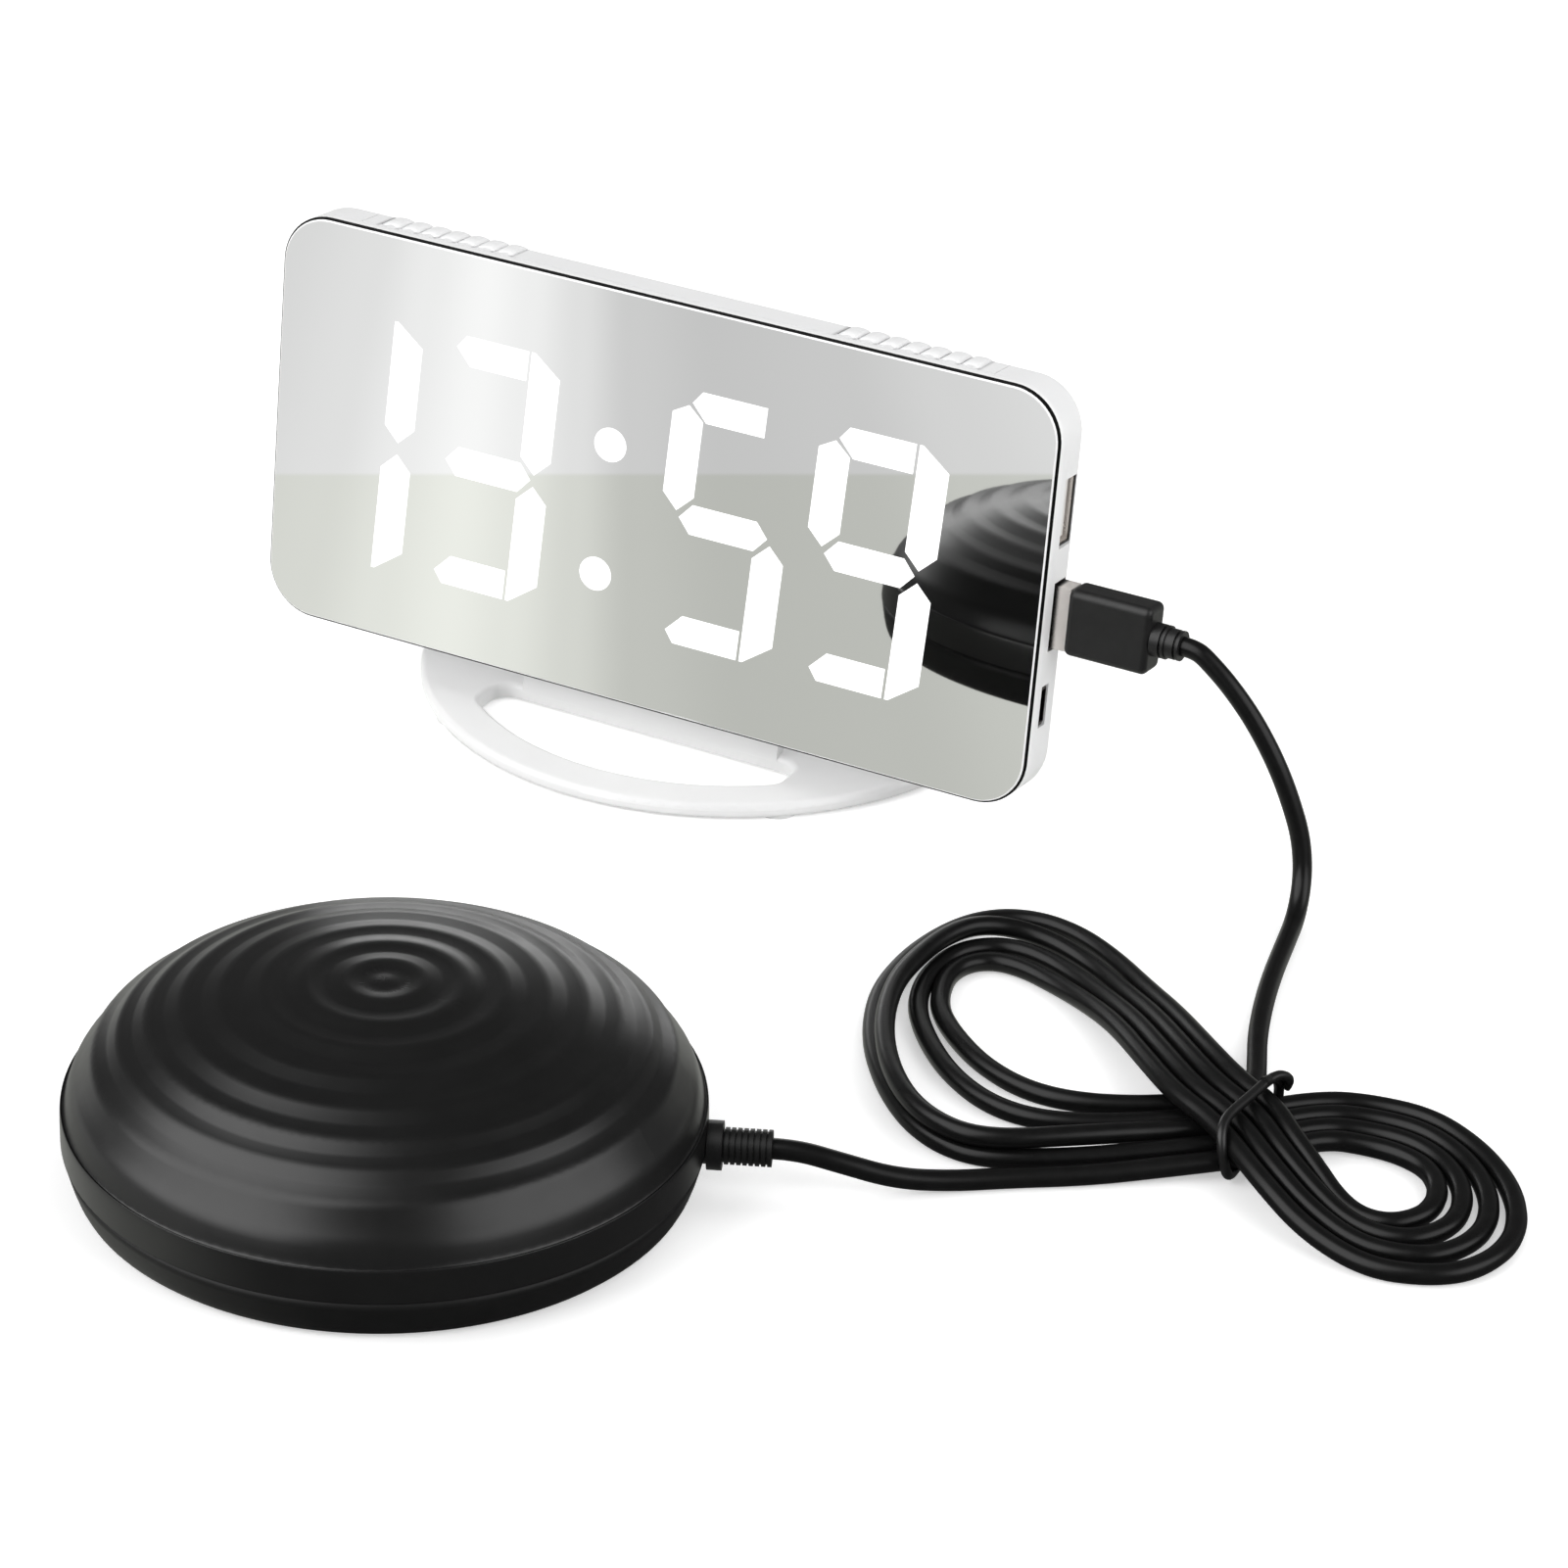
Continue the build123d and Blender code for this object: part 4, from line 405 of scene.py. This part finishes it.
def rib_caps(work):
    """Rounded caps on the ribs of the snooze bar."""
    for side in (-1, 1):
        for number in range(RIB_COUNT):
            centre = side * RIB_MIDDLE - RIBS_HALF + (number + 0.5) * RIB_PITCH
            rows = []
            for k in range(LAST_ROW + 1):
                turn = math.radians(max(0, k - FLAT_ROWS) * ROW_TURN)
                flat_part = (ROUND_START - CAP_START) * min(k, FLAT_ROWS) / FLAT_ROWS
                depth = CAP_START + flat_part + ROUNDING * math.sin(turn)
                rise = BAR_TOP - ROUNDING + ROUNDING * math.cos(turn)
                square = UP * math.cos(turn) - OUT * math.sin(turn)
                swell = min(1.0, k / 1.5, (LAST_ROW - k) / 3)
                row = []
                for j in range(2 * CAP_SIDE + 1):
                    aside = (j - CAP_SIDE) / CAP_SIDE
                    proud = CAP_SWELL * swell * math.sqrt(1 - aside ** 2) - CAP_SUNK
                    row.append(on_panel(centre + CAP_HALF_W * aside, rise, -depth) + square * proud)
                rows.append((row, [p - square * CAP_THICK for p in row]))
            tops = [[work.verts.new(p) for p in row] for row, _ in rows]
            lows = [[work.verts.new(p) for p in low] for _, low in rows]
            for k in range(LAST_ROW):
                for j in range(2 * CAP_SIDE):
                    work.faces.new((tops[k][j], tops[k][j + 1], tops[k + 1][j + 1], tops[k + 1][j]))
                    work.faces.new((lows[k][j], lows[k + 1][j], lows[k + 1][j + 1], lows[k][j + 1]))
                for j in (0, 2 * CAP_SIDE):
                    work.faces.new((tops[k][j], tops[k + 1][j], lows[k + 1][j], lows[k][j]))
            for k in (0, LAST_ROW):
                for j in range(2 * CAP_SIDE):
                    work.faces.new((tops[k][j], tops[k][j + 1], lows[k][j + 1], lows[k][j]))
    for face in work.faces:
        face.smooth = True


add_mesh("snooze_rib_caps", rib_caps, white_plastic, "snooze")

# Radius and height in millimetres, from the seam down and back up inside
ROLL_OUTLINE = [
    (53.28, 8.05), (52.75, 6.0), (52.15, 3.8), (51.6, 2.2), (51.15, 1.3), (50.5, 0.7),
    (49.6, 0.42), (48.6, 0.5), (47.6, 0.86), (48.3, 1.3), (49.7, 2.6), (52.5, 7.9),
]
ROLL_STEPS = 144


def base_roll(work):
    """The rolled lower edge of the shaker's base."""
    rings = []
    for k in range(ROLL_STEPS):
        a = math.tau * k / ROLL_STEPS
        rings.append([work.verts.new((SHAKER_X + r / 1000 * math.cos(a),
                                      SHAKER_Y + r / 1000 * math.sin(a), z / 1000))
                      for r, z in ROLL_OUTLINE])
    for k in range(ROLL_STEPS):
        here, there = rings[k], rings[(k + 1) % ROLL_STEPS]
        for j in range(len(ROLL_OUTLINE)):
            m = (j + 1) % len(ROLL_OUTLINE)
            work.faces.new((here[j], here[m], there[m], there[j]))
    for face in work.faces:
        face.smooth = True


add_mesh("base_roll", base_roll, base_black, "shaker")

# The cord
# Points that the cord is drawn by: out of the shaker, round the two lobes of the hank along
# their outer and inner lines, and up to the plug
from_shaker = [
    (0.097584, -0.13416, 0.0081), (0.1012, -0.1325, 0.0081), (0.1074, -0.1298, 0.0064),
    (0.1156, -0.1249, 0.0032), (0.1230, -0.1190, 0.0019), (0.1312, -0.1126, 0.0018),
    (0.1414, -0.1056, 0.0018), (0.1508, -0.0984, 0.0024),
]
right_outer = [
    (0.1660, -0.0642, 0.0024), (0.1734, -0.0600, 0.0018), (0.1838, -0.0588, 0.0018),
    (0.1937, -0.0634, 0.0018), (0.2020, -0.0704, 0.0018), (0.2080, -0.0796, 0.0018),
    (0.2102, -0.0894, 0.0018), (0.2078, -0.0988, 0.0018), (0.2019, -0.1043, 0.0018),
    (0.1922, -0.1072, 0.0018), (0.1804, -0.1044, 0.0034), (0.1698, -0.0986, 0.0062),
]
right_inner = [
    (0.1710, -0.0752, 0.0024), (0.1786, -0.0724, 0.0018), (0.1844, -0.0724, 0.0018),
    (0.1895, -0.0742, 0.0018), (0.1932, -0.0784, 0.0018), (0.1948, -0.0838, 0.0018),
    (0.1942, -0.0890, 0.0018), (0.1908, -0.0932, 0.0018), (0.1856, -0.0939, 0.0018),
    (0.1804, -0.0914, 0.0024), (0.1746, -0.0876, 0.0048), (0.1686, -0.0834, 0.0066),
]
left_outer = [
    (0.1535, -0.0724, 0.0072), (0.1446, -0.0646, 0.0064), (0.1342, -0.0542, 0.0044),
    (0.1246, -0.0460, 0.0026), (0.1150, -0.0384, 0.0018), (0.1055, -0.0336, 0.0018),
    (0.0965, -0.0326, 0.0018), (0.0890, -0.0364, 0.0018), (0.0846, -0.0450, 0.0018),
    (0.0828, -0.0584, 0.0018), (0.0846, -0.0725, 0.0018), (0.0916, -0.0875, 0.0018),
    (0.1021, -0.1005, 0.0018), (0.1132, -0.1089, 0.0018), (0.1245, -0.1100, 0.0018),
    (0.1370, -0.1022, 0.0018), (0.1484, -0.0938, 0.0024),
]
left_inner = [
    (0.1464, -0.0822, 0.0072), (0.1370, -0.0736, 0.0064), (0.1266, -0.0630, 0.0046),
    (0.1176, -0.0560, 0.0028), (0.1094, -0.0516, 0.0018), (0.1020, -0.0494, 0.0018),
    (0.0962, -0.0498, 0.0018), (0.0926, -0.0536, 0.0018), (0.0919, -0.0592, 0.0018),
    (0.0938, -0.0656, 0.0018), (0.0968, -0.0712, 0.0018), (0.1028, -0.0772, 0.0018),
    (0.1112, -0.0832, 0.0018), (0.1208, -0.0866, 0.0018), (0.1300, -0.0857, 0.0018),
    (0.1396, -0.0812, 0.0018), (0.1484, -0.0756, 0.0024),
]
to_plug = [
    (0.1545, -0.0705, 0.0030), (0.1537, -0.0640, 0.0023), (0.1508, -0.0571, 0.0018),
    (0.1477, -0.0500, 0.0018), (0.1443, -0.0402, 0.0018), (0.1412, -0.0292, 0.0018),
    (0.1387, -0.0180, 0.0018), (0.1366, -0.0080, 0.0022), (0.1351, -0.0024, 0.0070),
    (0.1336, -0.0008, 0.0138), (0.1310, -0.0005, 0.0204), (0.1275, -0.0005, 0.0276),
    (0.1226, -0.0004, 0.0348), (0.1175, -0.0004, 0.0404), (0.1130, -0.0003, 0.0441),
    (0.1102, -0.00031, 0.04598), (0.1075, -0.00031, 0.04598),
]
# Each of the four turns lies its own share of the way from the outer to the inner line
left_shares = (
    [0.0] * 17,
    [0.33] * 5 + [0.37, 0.44, 0.48, 0.46, 0.38, 0.26, 0.12, 0.02, 0.0, 0.0, 0.12, 0.28],
    [0.67] * 7 + [0.66, 0.60, 0.57, 0.62] + [0.66] * 6,
    [1.0] * 17,
)
# The second turn climbs over the first one in the left lobe
SECOND = 1
second_rise = [0.0] * 5 + [0.0006, 0.0019, 0.0032] + [0.0037] * 7 + [0.0034, 0.0014]
# In the waist the four strands to the right lobe lie side by side, under the four that come back
under, over = Vector((0.1600, -0.0794, 0.0034)), Vector((0.1602, -0.0830, 0.0072))
UNDER_ANGLE, OVER_ANGLE = math.radians(37), math.radians(147)
under_step = Vector((-math.sin(UNDER_ANGLE), math.cos(UNDER_ANGLE), 0)) * 0.00455
over_step = Vector((math.sin(OVER_ANGLE), -math.cos(OVER_ANGLE), 0)) * 0.0039
route = [Vector(p) for p in from_shaker]
for turn, shares in enumerate(left_shares):
    route.append(under + under_step * (turn - 2))
    route += [Vector(a).lerp(Vector(b), 1 - turn / 3) for a, b in zip(right_outer, right_inner)]
    route.append(over + over_step * (1.5 - turn))
    for a, b, share, rise in zip(left_outer, left_inner, shares, second_rise):
        point = Vector(a).lerp(Vector(b), share)
        route.append(point + Vector((0, 0, rise if turn == SECOND else 0)))
route += [Vector(p) for p in to_plug]


def add_tube(name, points, radius, look, order):
    """A round strand along one open line that rides on the shaker."""
    data = bpy.data.curves.new(name, "CURVE")
    data.dimensions = "3D"
    data.bevel_depth = radius
    data.bevel_resolution = 5
    data.use_fill_caps = True
    line = data.splines.new("NURBS")
    line.points.add(len(points) - 1)
    for point, place in zip(line.points, points):
        point.co = (*place, 1.0)
    line.order_u = order
    line.use_endpoint_u = True
    line.resolution_u = 10
    data.materials.append(look.material)
    piece = bpy.data.objects.new(name, data)
    bpy.context.scene.collection.objects.link(piece)
    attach(piece, "shaker")
    return piece


cord = add_tube("cord", route, 0.0018, cord_black, 3)
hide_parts("plug_lead", "cord_hank", "shaker_lead")

tie_route = [
    (0.1615, -0.0702, 0.0068), (0.1623, -0.0700, 0.0082), (0.1619, -0.0712, 0.0098),
    (0.1607, -0.0735, 0.0106), (0.1600, -0.0775, 0.0103), (0.1597, -0.0825, 0.0104),
    (0.1592, -0.0868, 0.0104), (0.1590, -0.0904, 0.0102), (0.1598, -0.0934, 0.0092),
    (0.1608, -0.0944, 0.0064), (0.1616, -0.0943, 0.0030), (0.1618, -0.0930, 0.0011),
    (0.1610, -0.0860, 0.0010), (0.1604, -0.0780, 0.0010), (0.1600, -0.0712, 0.0011),
    (0.1598, -0.0689, 0.0027), (0.1600, -0.0690, 0.0053), (0.1604, -0.0710, 0.0084),
    (0.1606, -0.0738, 0.0104), (0.1602, -0.0768, 0.0108),
]
tie = add_tube("twist_tie", tie_route, 0.0009, tie_black, 4)
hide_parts("hank_tie")

# Floor
FLOOR_HALF, FLOOR_TONE = 9, (0.82, 0.82, 0.82)
floor_mesh = bpy.data.meshes.new("floor")
floor_mesh.from_pydata([(x * FLOOR_HALF, y * FLOOR_HALF, 0)
                        for x, y in ((-1, -1), (1, -1), (1, 1), (-1, 1))], [], [(0, 1, 2, 3)])
floor = bpy.data.objects.new("floor", floor_mesh)
bpy.context.scene.collection.objects.link(floor)
ground = Look("floor", FLOOR_TONE, 0.9, vary=0.0)
ground.tree.nodes.remove(ground.shader)
light_path = ground.node("ShaderNodeLightPath").outputs
matte = ground.node("ShaderNodeBsdfDiffuse")
matte.inputs["Color"].default_value = (*FLOOR_TONE, 1.0)
fill_light = ground.node("ShaderNodeEmission")
# The floor turns as pale as the backdrop far from the clock
NEAR_GLOW, FAR_GLOW, GLOW_START, GLOW_WIDTH = 0.42, 0.4, 0.7, 1.8
reach = ground.node("ShaderNodeVectorMath", operation="LENGTH")
ground.tree.links.new(ground.where, reach.inputs[0])
far_off = ground.past(reach.outputs["Value"], GLOW_START, GLOW_WIDTH)
lift = ground.math("ADD", ground.math("MULTIPLY", far_off, FAR_GLOW), NEAR_GLOW)
ground.tree.links.new(ground.math("MULTIPLY", light_path["Is Camera Ray"], lift),
                      fill_light.inputs["Strength"])
seen = ground.node("ShaderNodeAddShader")
ground.tree.links.new(matte.outputs[0], seen.inputs[0])
ground.tree.links.new(fill_light.outputs[0], seen.inputs[1])
# What shiny surfaces see of the studio: pale and grey panels that lie across the floor in front
# of the clock, side by side, with a farther row behind the near one and a dark card on the right
SIDEWAYS, FORWARD = (0.87, -0.49, 0), (-0.835, -0.55, 0)
LEFT_END, ROW_WIDTH, ROW_DEPTH, ROW_FADE = -0.085, 0.205, 0.2045, 0.003
CARD_START, CARD_FADE, CARD_TONE = 0.124, 0.03, (0.10, 0.10, 0.10)
SILVER, NEAR_TONE, NEAR_FALL, NEAR_TINT = 0.93, 0.93, 0.08, (0.985, 1.0, 0.94)
sideways = ground.along(SIDEWAYS)
side_to_side = ground.past(sideways, LEFT_END, ROW_WIDTH)
tones = [(-0.085, 0.68), (-0.060, 0.74), (-0.045, 0.84), (-0.030, 0.93), (-0.018, 0.86),
         (-0.005, 0.74), (0.008, 0.60), (0.030, 0.55), (0.062, 0.575), (0.090, 0.65), (0.120, 0.70)]
row = [((s - LEFT_END) / ROW_WIDTH, v / SILVER) for s, v in tones]
far_tone = ground.ramp(side_to_side, [(place, grey(v)) for place, v in row], "EASE")
near_tone = ground.ramp(side_to_side, [
    (place, [v * (NEAR_TONE - NEAR_FALL * place) * c for c in NEAR_TINT]) for place, v in row], "EASE")
beyond = ground.past(ground.along(FORWARD), ROW_DEPTH, ROW_FADE)
card = ground.past(sideways, CARD_START, CARD_FADE)
studio = ground.node("ShaderNodeEmission")
ground.tree.links.new(ground.mix(card, ground.mix(beyond, near_tone, far_tone), CARD_TONE),
                      studio.inputs["Color"])
# What is seen by way of two shiny surfaces is darker
TWICE, TWICE_LOSS = 1.5, -0.7
twice = ground.math("GREATER_THAN", light_path["Glossy Depth"], TWICE)
ground.tree.links.new(ground.math("ADD", ground.math("MULTIPLY", twice, TWICE_LOSS), 1.0),
                      studio.inputs["Strength"])
choose = ground.node("ShaderNodeMixShader")
ground.tree.links.new(
    ground.math("MAXIMUM", light_path["Is Glossy Ray"], light_path["Is Transmission Ray"]),
    choose.inputs["Fac"])
ground.tree.links.new(seen.outputs[0], choose.inputs[1])
ground.tree.links.new(studio.outputs[0], choose.inputs[2])
ground.tree.links.new(choose.outputs[0], ground.tree.nodes["Material Output"].inputs["Surface"])
floor_mesh.materials.append(ground.material)

# World
world = bpy.data.worlds.new("studio")
bpy.context.scene.world = world
world.use_nodes = True
wt = world.node_tree
wt.nodes.clear()
path = wt.nodes.new("ShaderNodeLightPath").outputs
direction = wt.nodes.new("ShaderNodeTexCoord").outputs["Generated"]
parts = wt.nodes.new("ShaderNodeSeparateXYZ")
wt.links.new(direction, parts.inputs[0])


def step(source, start, end):
    """Goes smoothly from 0 to 1 as the source goes from start to end."""
    made = wt.nodes.new("ShaderNodeMapRange")
    made.interpolation_type = "SMOOTHSTEP"
    made.inputs["From Min"].default_value, made.inputs["From Max"].default_value = start, end
    wt.links.new(source, made.inputs["Value"])
    return made.outputs["Result"]


def world_math(operation, a, b=None):
    return math_node(wt, operation, a, b)


def soft_panel(azimuth, half_width, soft_width, tilt, reach, soft_reach, strength):
    """A broad pale panel with soft edges, as shiny surfaces see it.

    Azimuth 0 is in front of the clock and 90 to its right; all angles are in degrees.
    """
    a, t = math.radians(azimuth), math.radians(tilt)
    ahead_way = (math.sin(a) * math.cos(t), -math.cos(a) * math.cos(t), math.sin(t))
    aside = world_math("ABSOLUTE", dot_node(wt, direction, (math.cos(a), math.sin(a), 0)))
    width = step(aside, math.sin(math.radians(half_width + soft_width)),
                 math.sin(math.radians(half_width)))
    height = step(dot_node(wt, direction, ahead_way), math.cos(math.radians(reach + soft_reach)),
                  math.cos(math.radians(reach)))
    return world_math("MULTIPLY", world_math("MULTIPLY", width, height), strength)


# A pale grey dome, darker toward its top
DOME = ((0.02, 0.34), (0.13, 0.21), (0.32, 0.15), (0.9, 0.12))
dome = wt.nodes.new("ShaderNodeValToRGB")
band = dome.color_ramp.elements
band.new(0.5)
band.new(0.6)
for element, (place, value) in zip(band, DOME):
    element.position = place
    element.color = (value, value, value, 1.0)
wt.links.new(parts.outputs["Z"], dome.inputs["Fac"])
panels_seen = world_math("ADD", soft_panel(-38, 24, 22, 30, 32, 26, 4.3),
                         soft_panel(93, 26, 14, 12, 28, 20, 3.2))
# The panels stand clear of the floor, so that the upright mirror shows none of them in low views
LOW_EDGE = (0.11, 0.27)
panels_seen = world_math("MULTIPLY", panels_seen, step(parts.outputs["Z"], *LOW_EDGE))
bright = world_math("ADD", panels_seen, dome.outputs["Color"])
# What is seen by way of two shiny surfaces is darker, high up more than low down
HIGH_UP, HIGH_LOSS, LOW_LOSS = (0.28, 0.52), -0.70, -0.15
high_loss = world_math("MULTIPLY", step(parts.outputs["Z"], *HIGH_UP), HIGH_LOSS)
loss = world_math("MULTIPLY", world_math("GREATER_THAN", path["Glossy Depth"], TWICE),
                  world_math("ADD", high_loss, LOW_LOSS))
bright = world_math("MULTIPLY", bright, world_math("ADD", loss, 1.0))
plain, shiny, backdrop = (wt.nodes.new("ShaderNodeBackground") for _ in range(3))
plain.inputs["Color"].default_value = (1, 1, 1, 1)
plain.inputs["Strength"].default_value = 0.50
wt.links.new(bright, shiny.inputs["Strength"])
backdrop.inputs["Color"].default_value = (1, 1, 1, 1)
first, second = wt.nodes.new("ShaderNodeMixShader"), wt.nodes.new("ShaderNodeMixShader")
wt.links.new(world_math("MAXIMUM", path["Is Glossy Ray"], path["Is Transmission Ray"]),
             first.inputs["Fac"])
wt.links.new(plain.outputs[0], first.inputs[1])
wt.links.new(shiny.outputs[0], first.inputs[2])
wt.links.new(path["Is Camera Ray"], second.inputs["Fac"])
wt.links.new(first.outputs[0], second.inputs[1])
wt.links.new(backdrop.outputs[0], second.inputs[2])
wt.links.new(second.outputs[0], wt.nodes.new("ShaderNodeOutputWorld").inputs["Surface"])


# Lamps
def add_lamp(name, place, target, size, power):
    """A soft rectangular lamp that lights matt surfaces only.

    Shiny surfaces see the soft panels of the world in place of the lamps.
    """
    data = bpy.data.lights.new(name, "AREA")
    data.shape = "RECTANGLE"
    data.size, data.size_y = size
    data.energy = power
    lamp = bpy.data.objects.new(name, data)
    lamp.matrix_world = Matrix.Translation(Vector(place)) @ (
        Vector(target) - Vector(place)).to_track_quat("-Z", "Y").to_matrix().to_4x4()
    lamp.visible_camera = False
    lamp.visible_glossy = False
    bpy.context.scene.collection.objects.link(lamp)


SUBJECT = Vector((0.04, -0.14, 0.02))


def toward(azimuth, elevation, distance):
    """A place seen from the subject; azimuth 0 is in front of it and 90 to its right."""
    a, e = math.radians(azimuth), math.radians(elevation)
    way = Vector((math.sin(a) * math.cos(e), -math.cos(a) * math.cos(e), math.sin(e)))
    return SUBJECT + way * distance


for name, place, size, power in (
        ("left_softbox", toward(-40, 30, 1.4), (1.15, 1.15), 16.0),
        ("right_softbox", toward(84, 29, 1.4), (0.95, 0.9), 7.5),
        ("back_fill", toward(172, 42, 1.8), (1.4, 1.0), 9.0)):
    add_lamp(name, place, SUBJECT, size, power)

# Camera
FOCAL_PIXELS, PHOTO_PIXELS, SENSOR = 5388.46, 1601, 36.0
TARGET, DISTANCE = Vector((0.03348, -0.012, 0.00239)), 0.99193
azimuth, elevation, roll = (math.radians(v) for v in (27.65, 28.11, 1.89))
back = Vector((math.sin(azimuth) * math.cos(elevation), -math.cos(azimuth) * math.cos(elevation),
               math.sin(elevation)))
level = Vector((math.cos(azimuth), math.sin(azimuth), 0))
right = level * math.cos(roll) + back.cross(level) * math.sin(roll)
camera_data = bpy.data.cameras.new("camera")
camera_data.sensor_width = SENSOR
camera_data.lens = FOCAL_PIXELS / PHOTO_PIXELS * SENSOR
camera_data.clip_start, camera_data.clip_end = 0.05, 60.0
camera = bpy.data.objects.new("camera", camera_data)
bpy.context.scene.collection.objects.link(camera)
turned = Matrix((right, back.cross(right), back)).transposed().to_4x4()
camera.matrix_world = Matrix.Translation(TARGET + back * DISTANCE) @ turned
bpy.context.scene.camera = camera
bpy.context.scene.view_settings.view_transform = "Standard"
